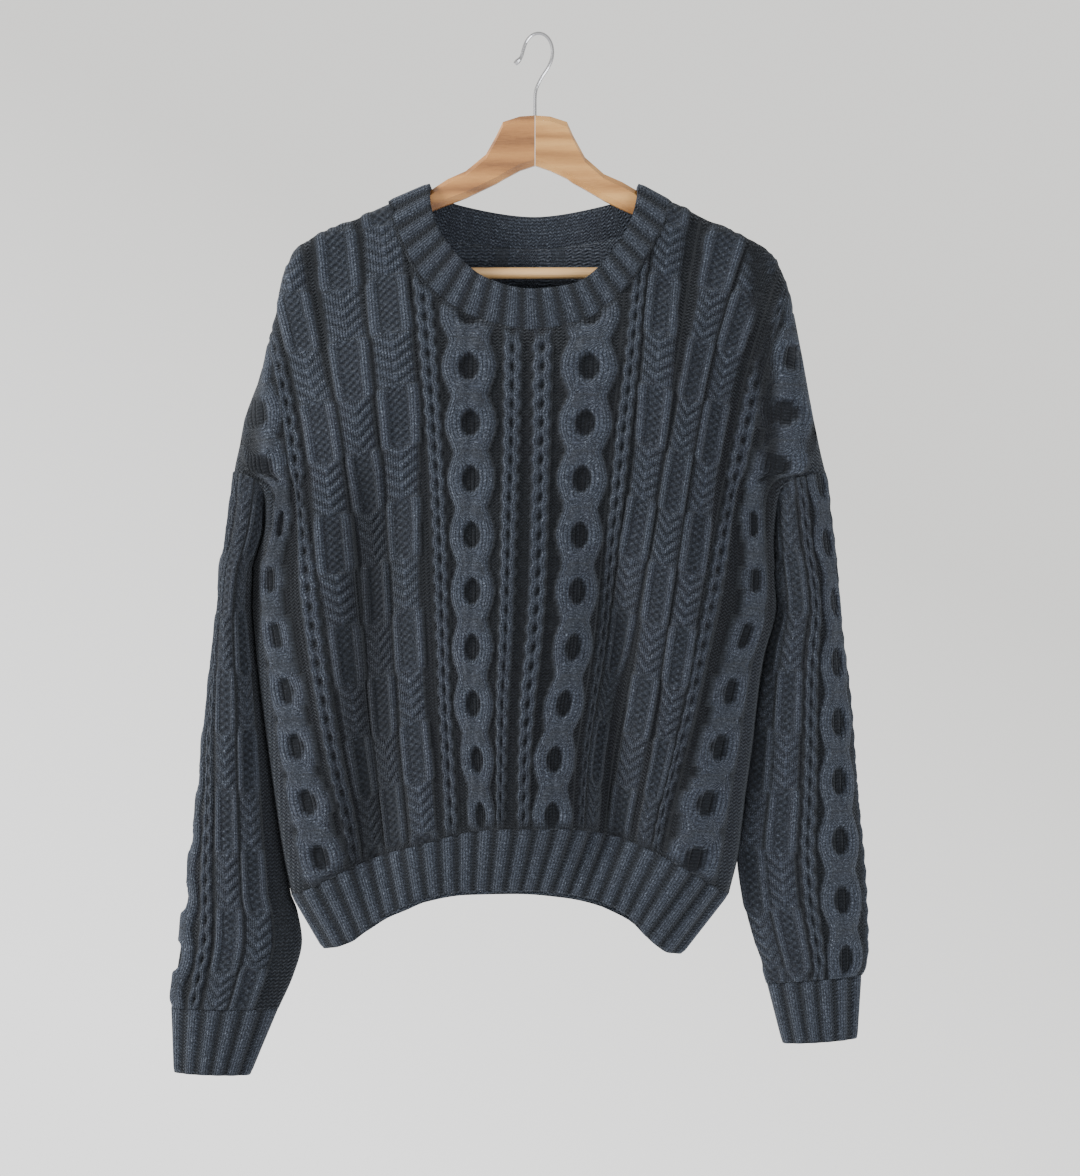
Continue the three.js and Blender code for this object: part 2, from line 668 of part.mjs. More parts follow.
function finish(piece) {
  const { name, lines, closed, points, faces, flip } = piece;
  const xyz = [];
  const index = [];
  points.forEach((p) => {
    if (p.level) p.normal.y = 0;
    p.normal.normalize();
    const base = new THREE.Vector3(...p.p);
    p.outer = base.clone().addScaledVector(p.normal, WALL / 2 + p.h);
    p.inner = base.clone().addScaledVector(p.normal, (-WALL / 2) * (p.miter ?? 1));
    xyz.push(...p.outer.toArray());
  });
  const emit = (a, b, c) => index.push(...(flip > 0 ? [a, b, c] : [a, c, b]));
  faces.forEach((f) => emit(...f));
  const innerLines = lines
    .filter((l) => l.keep)
    .map((l) => l.filter((p) => p.keep).map((p) => ({ of: p, t: p.t })));
  innerLines.flat().forEach((q) => {
    q.id = xyz.length / 3;
    xyz.push(...q.of.inner.toArray());
  });
  const n = innerLines.length;
  for (let i = 0; i < n - (closed ? 0 : 1); i++) {
    zipper(innerLines[i], innerLines[(i + 1) % n], (a, b, c) => emit(a, c, b));
  }
  // the border strip between an outer list and the inner points taken from it
  const rim = (outerList, innerList, turn) => {
    const place = new Map(outerList.map((p, i) => [p, i]));
    const a = outerList.map((p, i) => ({ id: p.id, t: i }));
    const b = innerList.map((q) => ({ id: q.id, t: place.get(q.of) }));
    if (closed) {
      a.push({ id: a[0].id, t: a.length });
      b.push({ id: b[0].id, t: a.length - 1 });
    }
    zipper(a, b, (x, y, z) => (turn ? emit(x, z, y) : emit(x, y, z)));
  };
  const ends = [(l) => l[0], (l) => l[l.length - 1]];
  ends.forEach((end, i) => rim(lines.map(end), innerLines.map(end), i === 1));
  if (!closed) {
    rim(lines[0], innerLines[0], true);
    rim(lines[lines.length - 1], innerLines[n - 1], false);
  }
  const geometry = new THREE.BufferGeometry();
  geometry.setAttribute("position", new THREE.Float32BufferAttribute(xyz, 3));
  geometry.setIndex(index);
  geometry.computeVertexNormals();
  const mesh = new THREE.Mesh(geometry, wool());
  mesh.name = name;
  return mesh;
}

// The sleeve's lines round the armhole, from the shoulder tip to the underarm, in front and behind.
function armholeOrder(s, front) {
  const n = SLEEVE_LINES.length;
  const tip = s.sign < 0 ? 0 : n - 3;
  const underarm = s.sign < 0 ? n / 2 : 12;
  const order = [tip];
  while (order[order.length - 1] !== underarm) {
    order.push((order[order.length - 1] + (front ? 1 : n - 1)) % n);
  }
  return order;
}
const loopKeeps = (i, order) => i % 2 === 0 || i > order.length - 7;
const sleeveKeeps = (s) =>
  new Set([true, false].flatMap((front) =>
    armholeOrder(s, front).filter((_, i, order) => loopKeeps(i, order))));

// Sleeve points
function sleeveLines(s) {
  const mark = s.sign < 0 ? "L" : "R";
  return SLEEVE_LINES.map((line, n) => {
    const rowOf = (drop) => (drop - SLEEVE_RING_DROP) / SLEEVE_ROW;
    const start = s.topOf(line.q(0) + s.twist);
    const share = line.q(rowOf(start)) + s.twist;
    const top = s.topOf(share);
    const place = (drop) => {
      const q = drop === top ? share : line.q(rowOf(drop)) + s.twist;
      return s.angleOf(q, drop);
    };
    const drops = [top];
    const end = s.endOf(place(850));
    for (let k = -5.5; k < 30; k++) {
      const drop = SLEEVE_RING_DROP + k * SLEEVE_ROW;
      if (drop > top + 5 && drop < end - 6) drops.push(drop);
    }
    drops.push(end);
    const list = drops.map((drop, i) => {
      const last = i === drops.length - 1;
      const p = s.point(place(drop), drop);
      const fade = step(top - 4, top + 16, drop) * step(end + 6, end - 14, drop);
      const full = mix(0.35, 1, fade) * line.h(rowOf(drop));
      const crease = step(392, 402, top) * step(top + 34, top + 6, drop);
      return { p, t: drop, h: mix(full, THIN, crease), keep: last || i < 2 || i % 3 === 0 };
    });
    list[0].weld = mark + n;
    list.keep = sleeveKeeps(s).has(n);
    return list;
  });
}

// Panel points
function panelTop(side, x, front) {
  if (x > NECK_LEFT && x < NECK_RIGHT) return (front ? neckDrop.front : neckDrop.back)(x);
  return side.shoulderDrop(x);
}
const ribTopOf = (x, front) => ribTop(x) + (front ? 0 : (BACK_HEM_LOWER / 2) * hemMiddle(x));
const hemMiddle = (x) => step(-190, -110, x) * step(125, 60, x);

function cross(goal, path, from, to) {
  let low = from;
  while (low < to && low < goal(path(low))) low += 1;
  let a = low - 1;
  let b = low;
  for (let i = 0; i < 20; i++) {
    const m = (a + b) / 2;
    if (m < goal(path(m))) a = m;
    else b = m;
  }
  return b;
}

const everyThird = (row, left) => Math.round(row - 0.5) % 3 === 0 && left > 20;
function panelLines(front, sleeves) {
  const sign = front ? -1 : 1;
  const place = (x, drop) => [x, sign * (panelDepth(x, drop, front) + SEAM / 2), -drop];
  const half = (side) => {
    const inner = LINES.map((line, n) => {
      const sag = rowSag(line.v(1.5));
      const rowOf = (drop) => (drop - RING_DROP - sag) / ROW;
      const path = (drop) => lineX(side, line.v(rowOf(drop)), drop);
      const top = cross((x) => panelTop(side, x, front), path, 100, 470);
      const end = cross((x) => ribTopOf(x, front), path, 600, 790);
      const neck = path(top) > NECK_LEFT && path(top) < NECK_RIGHT;
      const beside = n > LINES.length - 5;
      const drops = neck ? [top] : [top, top + 3, top + 9];
      for (let k = -10.5; k < 30; k++) {
        const drop = RING_DROP + sag + k * ROW;
        if (drop > drops[drops.length - 1] + 5 && drop < end - 6) drops.push(drop);
      }
      drops.push(end);
      const list = drops.map((drop, i) => {
        const pinch = mix(step(0, 16, Math.abs(path(drop) - side.edgeX(drop))), 1, step(500, 560, drop));
        const fade = step(0, 14, drop - top) * step(0, 12, end - drop);
        return {
          p: place(path(drop), drop),
          t: rowOf(drop),
          h: mix(THIN, mix(neck || drop > 500 ? 0.15 : 0.5, 1, fade) * line.h(rowOf(drop)), pinch),
          keep: i === drops.length - 1 || i < (neck ? 1 : 3) || (beside && drop < 500) ||
            everyThird(rowOf(drop), end - drop),
          level: i === 0 && !neck,
        };
      });
      list.keep = line.keep || (neck && n % 2 === 0);
      list.neck = neck;
      return list;
    });
    const order = armholeOrder(side.sleeve, front);
    const sag = rowSag(9);
    const rowOf = (drop) => (drop - RING_DROP - sag) / ROW;
    const loop = order.map((n, i) => {
      const of = sleeves[side.name][n][0];
      const last = i === 0 || i === order.length - 1;
      const p = last ? [of.p[0], (sign * SEAM) / 2, of.p[2]] : [...of.p];
      return { p, t: rowOf(-of.p[2]), h: of.h, weld: of.weld, keep: loopKeeps(i, order), level: last };
    });
    const end = cross((x) => ribTopOf(x, front), (d) => sideX[side.name](d), 600, 790);
    const lower = [];
    for (let k = 0.5; k < 30; k++) {
      const drop = RING_DROP + sag + k * ROW;
      if (drop > ARMHOLE[ARMHOLE.length - 1][1] + 7 && drop < end - 6) lower.push(drop);
    }
    lower.push(end);
    const seam = lower.map((drop, i) => ({
      p: [sideX[side.name](drop), (sign * SEAM) / 2, -drop],
      t: rowOf(drop),
      h: 0.3,
      keep: i === lower.length - 1 || i % 3 === 1,
      level: true,
    }));
    const edge = [...loop, ...seam];
    edge.keep = true;
    return [...inner, edge];
  };
  const [left, right] = sides.map(half);
  const centre = panelCentre(front, place);
  const lines = [...left.reverse(), centre, ...right];
  // the line next to each end of the neckline starts at that end exactly
  for (const [row, side] of [[neckFront[0], sides[0]], [neckFront[neckFront.length - 1], sides[1]]]) {
    const x = row[4] + side.sign * 1.6;
    const near = lines.reduce((a, b) => (Math.abs(a[0].p[0] - x) < Math.abs(b[0].p[0] - x) ? a : b));
    near[0].p = [x, (sign * SEAM) / 2, -side.shoulderDrop(x)];
    near[0].level = true;
    near[0].keep = true;
    near.keep = true;
    if (near.neck) {
      const top = -near[0].p[2];
      const add = [3, 9].map((d) => ({ p: place(x, top + d), t: near[0].t + d / ROW, h: 0.6, keep: true }));
      const rest = near.slice(1).filter((p) => -p.p[2] > top + 13);
      near.splice(1, near.length, ...add, ...rest);
    }
  }
  return lines;
}

function panelCentre(front, place) {
  const x = (drop) => sides[0].centreX(drop);
  const top = cross((v) => (front ? neckDrop.front : neckDrop.back)(v), x, 100, 470);
  const end = cross((v) => ribTopOf(v, front), x, 600, 790);
  const drops = [top];
  for (let k = -10.5; k < 30; k++) {
    const drop = RING_DROP + k * ROW;
    if (drop > top + 5 && drop < end - 6) drops.push(drop);
  }
  drops.push(end);
  const list = drops.map((drop, i) => ({
    p: place(x(drop), drop),
    t: (drop - RING_DROP) / ROW,
    h: 0,
    keep: i === 0 || i === drops.length - 1 || everyThird((drop - RING_DROP) / ROW, end - drop),
  }));
  list.keep = true;
  return list;
}

// Places at equal steps along a curve of points.
function evenly(curve, count, samples = 400) {
  const at = [0];
  let last = new THREE.Vector3(...curve(0));
  for (let i = 1; i <= samples; i++) {
    const p = new THREE.Vector3(...curve(i / samples));
    at.push(at[i - 1] + p.distanceTo(last));
    last = p;
  }
  return Array.from({ length: count + 1 }, (_, n) => {
    const goal = (n / count) * at[samples];
    let i = 0;
    while (i < samples - 1 && at[i + 1] < goal) i++;
    return (i + (goal - at[i]) / (at[i + 1] - at[i])) / samples;
  });
}

// Hem ribbing: hangs from the panel's lower edge and pulls in to the hem line.
const hemFront = reader(HEM_FRONT, 0, 1);
const HEM_ENDS = [-192.4, 125.6];
function hemLines(front, lines) {
  const sign = front ? -1 : 1;
  const bottoms = lines.map((l) => l[l.length - 1].p);
  const [xl, xr] = [bottoms[0][0], bottoms[bottoms.length - 1][0]];
  const top = (f) => {
    const x = mix(xl, xr, f);
    const depth = f === 0 || f === 1 ? 0 : panelDepth(x, ribTopOf(x, front), front);
    return [x, sign * (depth + SEAM / 2), -ribTopOf(x, front) - 1.2];
  };
  const bottom = (f) => {
    const x = mix(HEM_ENDS[0], HEM_ENDS[1], f);
    const d = Math.min(x - HEM_ENDS[0], HEM_ENDS[1] - x);
    const depth = roundEdge(d, 18, 13) + (front ? 9 : 6) * step(0, 90, d);
    return [x, sign * (depth + SEAM / 2), -hemFront(x) - (front ? 0 : BACK_HEM_LOWER * hemMiddle(x))];
  };
  const count = 2 * HEM_RIBS;
  const [a, b] = [evenly(top, count), evenly(bottom, count)];
  return a.map((f, n) => {
    const [p, q] = [top(f), bottom(b[n])];
    const edge = n === 0 || n === count;
    const h = edge ? 0.3 : n % 2 ? RELIEF.rib : 0;
    const list = [0, 0.5, 1].map((w) => ({
      p: p.map((v, i) => mix(v, q[i], w)),
      t: w,
      h: h * (w ? 1 : 0.8),
      keep: true,
      level: edge,
    }));
    list.keep = n % 4 === 0;
    return list;
  });
}

// Neckband: a ring of ribbing between the neckline and its folded top edge.
function neckbandLines() {
  const ring = [...NECK, [360, ...NECK[0].slice(1)]];
  const before = ring.slice(-4, -1).map((r) => [r[0] - 360, ...r.slice(1)]);
  const wide = [...before, ...ring, [367, ...NECK[1].slice(1)]];
  const read = [1, 2, 3, 4, 5, 6].map((c) => reader(wide, 0, c));
  const edge = (a, c) => [read[c](a), read[c + 2](a), -read[c + 1](a)];
  const middle = (f) => edge(360 * f, 0).map((v, i) => (v + edge(360 * f, 3)[i]) / 2);
  const count = 2 * NECK_RIBS;
  return evenly(middle, count).slice(0, count).map((f, n) => {
    const [p, q] = [edge(360 * f, 0), edge(360 * f, 3)];
    const length = Math.hypot(...p.map((v, i) => v - q[i]));
    const list = [0, 0.5, 1 - 2.6 / length].map((w) => ({
      p: p.map((v, i) => mix(v, q[i], w)),
      t: w,
      h: n % 2 ? RELIEF.rib : 0.2,
      keep: true,
    }));
    const overArm = Math.abs(edge(360 * f, 0)[1]) < 15;
    list.keep = n % 2 === 0 || overArm;
    return list;
  });
}

// Cuff: a tube of ribbing from the sleeve's end to the wrist edge.
function cuffLines(s) {
  const { cuff, sign } = s;
  const topAt = (f) => {
    const angle = 2 * Math.PI * f;
    const drop = s.endOf(angle);
    const p = s.point(angle, drop);
    return [p[0], p[1], p[2] - 0.8];
  };
  const endAt = (f) => {
    const c = Math.cos(2 * Math.PI * f);
    const a = cuff.endOuter[0] - sign * 3.2;
    const b = cuff.endInner[0] + sign * 3.2;
    const drop = mix(cuff.endOuter[1], cuff.endInner[1], (1 - c) / 2);
    return [(a + b) / 2 + ((a - b) / 2) * c, -13 * Math.sin(2 * Math.PI * f), -drop];
  };
  const count = 2 * CUFF_RIBS;
  const [a, b] = [evenly(topAt, count), evenly(endAt, count)];
  return a.slice(0, count).map((f, n) => {
    const [p, q] = [topAt(f), endAt(b[n])];
    const list = [0, 0.5, 1].map((w) => ({
      p: p.map((v, i) => mix(v, q[i], w)),
      t: w,
      h: n % 2 ? RELIEF.rib : 0.1,
      keep: true,
    }));
    list.keep = n % 2 === 0;
    return list;
  });
}

// Hanger arm: eight-sided sections across the wood.
function armMesh(name, rows, color) {
  const half = ARM_THICK / 2;
  const xyz = [];
  const index = [];
  rows.forEach(([x, top, bottom]) => {
    const cut = Math.min(ARM_EDGE, (bottom - top) / 3);
    const round = [
      [-2.2, top], [2.2, top], [half, top + cut], [half, bottom - cut],
      [2.2, bottom], [-2.2, bottom], [-half, bottom - cut], [-half, top + cut],
    ];
    round.forEach(([y, drop]) => xyz.push(x, y, -drop));
  });
  const side = rows[rows.length - 1][0] > rows[0][0] ? 1 : -1;
  const emit = (a, b, c) => index.push(...(side < 0 ? [a, b, c] : [a, c, b]));
  for (let i = 0; i < rows.length - 1; i++) {
    for (let j = 0; j < 8; j++) {
      const [a, b] = [8 * i + j, 8 * i + ((j + 1) % 8)];
      emit(a, b, a + 8);
      emit(b, b + 8, a + 8);
    }
  }
  const end = 8 * (rows.length - 1);
  for (let j = 1; j < 7; j++) {
    emit(0, j + 1, j);
    emit(end, end + j, end + j + 1);
  }
  const geometry = new THREE.BufferGeometry();
  geometry.setAttribute("position", new THREE.Float32BufferAttribute(xyz, 3));
  geometry.setIndex(index);
  geometry.computeVertexNormals();
  const mesh = new THREE.Mesh(geometry, wood(color));
  mesh.name = name;
  return mesh;
}

// Hook: bent wire with a rounded tip.
function hookMesh() {
  const path = new THREE.CatmullRomCurve3(HOOK.map(([x, drop]) => new THREE.Vector3(x, 0, -drop)));
  const RINGS = 44;
  const SIDES = 8;
  const xyz = [];
  const index = [];
  for (let i = 0; i <= RINGS; i++) {
    const t = i / RINGS;
    const c = path.getPointAt(t);
    const d = path.getTangentAt(t);
    const side = new THREE.Vector3(0, 1, 0);
    const up = new THREE.Vector3().crossVectors(d, side).normalize();
    const tip = t > 0.94 ? WIRE_RADIUS * (1 + 0.6 * Math.sin(((t - 0.94) / 0.06) * 2.6)) : WIRE_RADIUS;
    for (let j = 0; j < SIDES; j++) {
      const a = (2 * Math.PI * j) / SIDES;
      const p = c.clone().addScaledVector(side, tip * Math.cos(a)).addScaledVector(up, tip * Math.sin(a));
      xyz.push(...p.toArray());
    }
  }
  for (let i = 0; i < RINGS; i++) {
    for (let j = 0; j < SIDES; j++) {
      const [a, b] = [SIDES * i + j, SIDES * i + ((j + 1) % SIDES)];
      index.push(a, b, a + SIDES, b, b + SIDES, a + SIDES);
    }
  }
  const end = SIDES * RINGS;
  for (let j = 1; j < SIDES - 1; j++) index.push(0, j + 1, j, end, end + j, end + j + 1);
  const geometry = new THREE.BufferGeometry();
  geometry.setAttribute("position", new THREE.Float32BufferAttribute(xyz, 3));
  geometry.setIndex(index);
  geometry.computeVertexNormals();
  const mesh = new THREE.Mesh(geometry, metal());
  mesh.name = "hook";
  return mesh;
}

function barMesh() {
  const [a, b] = BAR_ENDS;
  const geometry = new THREE.CylinderGeometry(BAR_RADIUS, BAR_RADIUS, b - a, 16);
  geometry.rotateZ(Math.PI / 2);
  geometry.translate((a + b) / 2, 0, -BAR_DROP);
  const mesh = new THREE.Mesh(geometry, wood(0xd9b98c));
  mesh.name = "trouser_bar";
  return mesh;
}

const leftLines = sleeveLines(sleeveLeft);
const rightLines = sleeveLines(sleeveRight);
const sleeves = { left: leftLines, right: rightLines };
const frontLines = panelLines(true, sleeves);
const backLines = panelLines(false, sleeves);
const towardViewer = new THREE.Vector3(0, -1, 0);
const pieces = [
  prepare("front", frontLines, false, towardViewer),
  prepare("back", backLines, false, towardViewer.clone().negate()),
  prepare("sleeve_left", leftLines, true),
  prepare("sleeve_right", rightLines, true),
  prepare("hem_rib_front", hemLines(true, frontLines), false, towardViewer),
  prepare("hem_rib_back", hemLines(false, backLines), false, towardViewer.clone().negate()),
  prepare("neckband", neckbandLines(), true),
  prepare("cuff_left", cuffLines(sleeveLeft), true),
  prepare("cuff_right", cuffLines(sleeveRight), true),
];

// Sewn armholes: both pieces share one direction at each point, longer inwards where they meet in a crease,
// and the sleeve starts a seam's width lower.
const welds = new Map();
pieces.forEach((piece) => piece.points.filter((p) => p.weld).forEach((p) => {
  welds.set(p.weld, [...(welds.get(p.weld) ?? []), p]);
}));
for (const group of welds.values()) {
  const normal = group.reduce((sum, p) => sum.add(p.normal), new THREE.Vector3());
  const ends = group.length > 2;
  if (ends) normal.y = 0;
  if (ends && -group[0].p[2] > 440) normal.add(new THREE.Vector3(0, 0, -3));
  normal.normalize();
  const miter = 1 / Math.max(0.6, ...group.map((p) => p.normal.dot(normal)));
  group.forEach((p) => Object.assign(p, { normal: normal.clone(), level: ends, miter }));
}
for (const line of [...leftLines, ...rightLines]) {
  const [a, b] = line;
  const length = Math.hypot(...a.p.map((v, i) => b.p[i] - v));
  const aside = Math.sign(a.p[0]) * CREASE_SEAM * step(399, 411, -a.p[2]);
  a.p = a.p.map((v, i) => v + ((b.p[i] - v) * ARMHOLE_SEAM) / length + (i === 0 ? aside : 0));
}

const sweater = new THREE.Group();
pieces.forEach((piece) => sweater.add(finish(piece)));
sweater.add(
  armMesh("hanger_arm_left", ARM_LEFT, 0xc8935f),
  armMesh("hanger_arm_right", ARM_RIGHT, 0xdcb384),
  barMesh(),
  hookMesh(),
);

export default sweater;
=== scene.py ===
import math

import bpy
import numpy as np
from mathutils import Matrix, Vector


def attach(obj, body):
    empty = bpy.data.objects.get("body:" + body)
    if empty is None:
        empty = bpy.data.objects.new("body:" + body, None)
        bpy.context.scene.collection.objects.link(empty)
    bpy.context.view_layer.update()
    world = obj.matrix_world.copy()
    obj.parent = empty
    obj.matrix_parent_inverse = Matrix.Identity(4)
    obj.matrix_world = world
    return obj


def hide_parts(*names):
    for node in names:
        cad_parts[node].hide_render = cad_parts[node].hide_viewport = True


# Cable knit sweater on a wooden hanger, over the solids of the part. Tables and sizes are in millimetres, in
# the frame of the solids: X runs to the viewer's right, the front faces -Y, and a drop is the distance below
# the hook's crown. Meshes are scaled to metres when they are built.

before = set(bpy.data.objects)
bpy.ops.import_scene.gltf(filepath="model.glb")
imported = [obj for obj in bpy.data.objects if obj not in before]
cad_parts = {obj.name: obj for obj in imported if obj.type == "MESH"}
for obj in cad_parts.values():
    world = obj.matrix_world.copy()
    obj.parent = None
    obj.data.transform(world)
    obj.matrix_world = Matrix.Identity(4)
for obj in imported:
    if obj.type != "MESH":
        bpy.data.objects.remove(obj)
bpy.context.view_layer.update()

FINE = 1.75  # distance between points across the fabric
ROW_PARTS = 9  # points along one row of the cable chart
RIB_PARTS = 8  # points across one rib of the hem and neckband
CUFF_PARTS = 10
HEM_ROWS = 30  # points along one rib
NECK_ROWS = 20
CUFF_ROWS = 28

# Fabric
WALL = 2.4
INSET = 4.0  # the middle of the wall lies this far inside the outline in the photo
SEAM = 0.3
THIN = -0.8  # outer face of a seam that is drawn in
SEAM_RISE = 0.3
STITCH = 4.2
STITCH_ROW = 3.07
RELIEF = {"chain": 3.0, "ring": 3.9, "loop": 3.5, "strip": 0.8, "rib": 2.5}
# painted shade: the yarn's colour is darkened in the hollows of the relief, the more the lower they lie
SHADE_HEIGHT = 2.8  # hollows below this height are shaded

# Cable chart of the body: one ring is three rows, and each row has 16 / 3 stitch rows
RING_PITCH = 49.1
ROW = RING_PITCH / 3
ROW_STITCHES = 16 / 3
RING_DROP = 300
FIRST_ROW, LAST_ROW = -14, 34
LOOP_PHASE = {"loopA": 8, "loopB": 5, "loopC": 8}
# columns: how far each of the two strands lies from the middle where the cable is closed, how much farther it
# lies where it is open, half its width
STRANDS = {"ring": (8.5, 6.2, 6.6), "chain": (2.9, 1.7, 3.1), "loop": (9.5, 1.8, 4.3)}
RING_HOLE = (8.6, 12.5)  # half its width and height
STACK_PITCH = 9.5  # between the V shapes of a closed loop
STACK_HALF = 14.5
COLUMN_NAMES = ["chain1", "ring1", "chain2", "loopA", "loopB", "loopC", "chain3", "ring2"]
COLUMN_WEIGHT = [0.8, 2.4, 0.8, 1.8, 1.7, 1.8, 0.8, 2.4]
COLUMN_WIDTH = [16.5, 45, 16, 32, 31, 33, 14, 38]
COLUMN_SPREAD = [21, 46, 17, 37, 32, 36, 12, 20]  # width that each column's lines are counted for
STRIP_SPREAD = 6
ROW_SAG = [0, 0, 0, 4.5, 9.8, 19.6, 24.1, 30.4, 39.3, 42.9]
TOP_RANGE = (100, 470)  # drops between which a column starts
END_RANGE = (600, 800)  # drops between which it ends
RIB_GAP = 0.4
WELT_HEIGHT = {"panel": 0.15, "shoulder": 0.5, "sleeve": 0.35}  # share of the relief left at a seam

# Drops at which the body's outline goes on down the sleeve, and its armhole down the side seam
SLEEVE_DROPS = (420, 470, 540, 640)
SIDE_DROPS = (490, 507, 546, 600, 660, 720, 780, 860)
UNDERARM_DROP, UNDERARM_PULL = 440, 3  # below this the armhole's seam is drawn down

# Sleeves
SLEEVE_RING_DROP = 454
SLEEVE_ROW = 17.6
SLEEVE_AROUND = 106  # half of the widest sleeve, for the number of lines
SLEEVE_RANGE = (380, 880)
RIGHT_TWIST = 0.118
# columns: where the column ends, as a share of the girth from the sleeve's outer edge; cable; its centre and
# width in such shares; the width that it is drawn for; the phase of a loop
SLEEVE_COLUMNS = [
    (0.088, "ring", 0, 0.176, 45, None),
    (0.15, "chain", 0.118, 0.06, 16.5, None),
    (0.27, "loop", 0.215, 0.12, 32, 2),
    (0.382, "loop", 0.326, 0.112, 32, 5),
]
PLAIN_HEIGHT = 0.5
# columns: added thickness beside the body, greatest height there
BESIDE_BODY = {-1: (1.6, 2.3), 1: (3.6, 4.7)}

# Ribbing: number of ribs and how wide one is
HEM_RIBS, HEM_PITCH = 26, 14.6
NECK_RIBS, NECK_PITCH = 36, 16
CUFF_RIBS, CUFF_PITCH = 12, 15
BACK_HEM_LOWER = 9
HEM_ENDS = (-192.4, 125.6)
HEM_OVERLAP = 1.2  # the ribbing's top covers the panel's end
HEM_EDGE = (18, 13)  # length and depth of the round edge at the hem's ends
NECK_START, NECK_PAST_SEAM = 0.4, 2.6
NECK_RELIEF = 0.75
CUFF_INSET, CUFF_HALF_DEPTH = 3.2, 13

# Folds of the panels
# columns: depth, x, half width, drop where it starts, drop where it is full
FOLDS = {
    True: [
        (-15, -146, 30, 340, 450), (-17, 61, 24, 400, 540), (6, -30, 34, 330, 460), (7, 130, 30, 300, 420),
    ],
    False: [(-7, -120, 30, 300, 470), (-8, 80, 34, 380, 520)],
}
# painted shade on the yarn in the panels' folds; columns: share of shade, x, half width, drop where it
# starts, drop where it is full
FOLD_SHADE = {
    True: [(1, -150, 32, 330, 450), (0.6, 61, 22, 400, 540)],
    False: [(0.5, -120, 28, 300, 470)],
}
FOLD_PAINTED_SHADE = 0.75
BELLY = {True: 17, False: 9}  # how far the panel swells out over its round edges

# Outlines, cable columns and sections
# columns: x, drop
SHOULDER_LEFT = [
    (-96.4, 134.8), (-116.1, 142), (-138.4, 150.9), (-169.6, 164.3), (-192, 173.2), (-208, 181.2),
    (-218.7, 190.2), (-226.8, 203.6), (-232.1, 218.7), (-236.6, 241.1), (-242.9, 267.9), (-249.1, 292),
    (-256.2, 312.5), (-262.5, 330.4), (-267, 348.2), (-271.4, 370.5), (-275.9, 391.1),
]
# columns: x, drop
SHOULDER_RIGHT = [
    (85.7, 135.7), (107.1, 142.9), (129.5, 152.7), (152.7, 164.3), (180.4, 176.8), (196.4, 183.9),
    (208, 194.6), (217, 208), (223.2, 225.9), (227.7, 246.4), (232.1, 272.3), (236.6, 294.6),
    (240.2, 315.2), (243.7, 333), (248.2, 350.9), (252.7, 372.3), (257.1, 391.1),
]
# columns: drop, x
SIDE_LEFT = [
    (475.9, -259.8), (509.8, -260.3), (549.1, -256.7), (583.9, -253.1), (638.4, -246), (683, -239.7),
    (727.7, -232.6), (766.1, -224.6),
]
# columns: drop, x
SIDE_RIGHT = [
    (475.9, 212.5), (509.8, 214.3), (557.1, 202.2), (593.8, 196.9), (627.7, 193.3), (683, 185.7),
    (727.7, 180.4), (763.4, 171.9),
]
# columns: drop, centre, chain1, ring1, chain2, loopA, loopB, loopC, chain3
COLUMNS_LEFT = [
    (183, -9.8, -24.1, -62.5, -107.1, -138.4, -181.2, -227.7, -254.5),
    (236.6, -9.8, -24.1, -62.5, -102.7, -133.9, -175, -218.7, -243.7),
    (299.1, -10.7, -24.1, -62.5, -97.3, -126.8, -166.1, -204.5, -229.5),
    (352.7, -11.6, -25, -60.7, -92.9, -122.3, -158.9, -192, -219.6),
    (415.2, -13.4, -26.8, -59.8, -89.3, -119.6, -150.9, -184.8, -211.6),
    (486.6, -15.2, -28.6, -58.9, -86.6, -117, -144.6, -178.6, -204.5),
    (540.2, -17, -30.4, -58.9, -84.8, -114.3, -142, -171.4, -198.2),
    (593.8, -19.6, -33, -58, -83, -111.6, -138.4, -165.2, -190.2),
    (647.3, -22.3, -33.9, -54.5, -80.4, -107.1, -133.9, -158, -181.2),
    (709.8, -23.2, -34.8, -50.9, -77.7, -101.8, -127.7, -149.1, -167.9),
    (766.1, -24.1, -35.7, -49.1, -75.9, -98.2, -123.2, -142.9, -158.9),
]
# columns: drop, centre, chain1, ring1, chain2, loopA, loopB, loopC, chain3
COLUMNS_RIGHT = [
    (183, -9.8, 2.7, 44.6, 91.1, 114.3, 165.2, 205.4, 232.1),
    (236.6, -9.8, 2.7, 44.6, 85.7, 108, 151.8, 183, 214.3),
    (299.1, -10.7, 1.8, 42.9, 79.5, 102.7, 136.6, 162.5, 193.7),
    (352.7, -11.6, 0.9, 39.3, 73.2, 98.2, 126.8, 150.9, 180.4),
    (415.2, -13.4, -0.9, 35.7, 67, 89.3, 116.1, 141.1, 167),
    (486.6, -15.2, -2.7, 32.1, 59.8, 78.6, 105.4, 131.2, 153.6),
    (540.2, -17, -6.2, 28.6, 53.6, 70.5, 98.2, 123.2, 142.9),
    (593.8, -19.6, -11.6, 20.5, 45.5, 58, 90.2, 115.2, 132.1),
    (647.3, -22.3, -14.3, 11.6, 38.4, 49.1, 80.4, 105.4, 118.7),
    (709.8, -23.2, -15.2, 9.8, 34.8, 44.6, 69.6, 92.9, 104.5),
    (766.1, -24.1, -16.1, 8.9, 33, 41.1, 62.5, 85.7, 96.4),
]
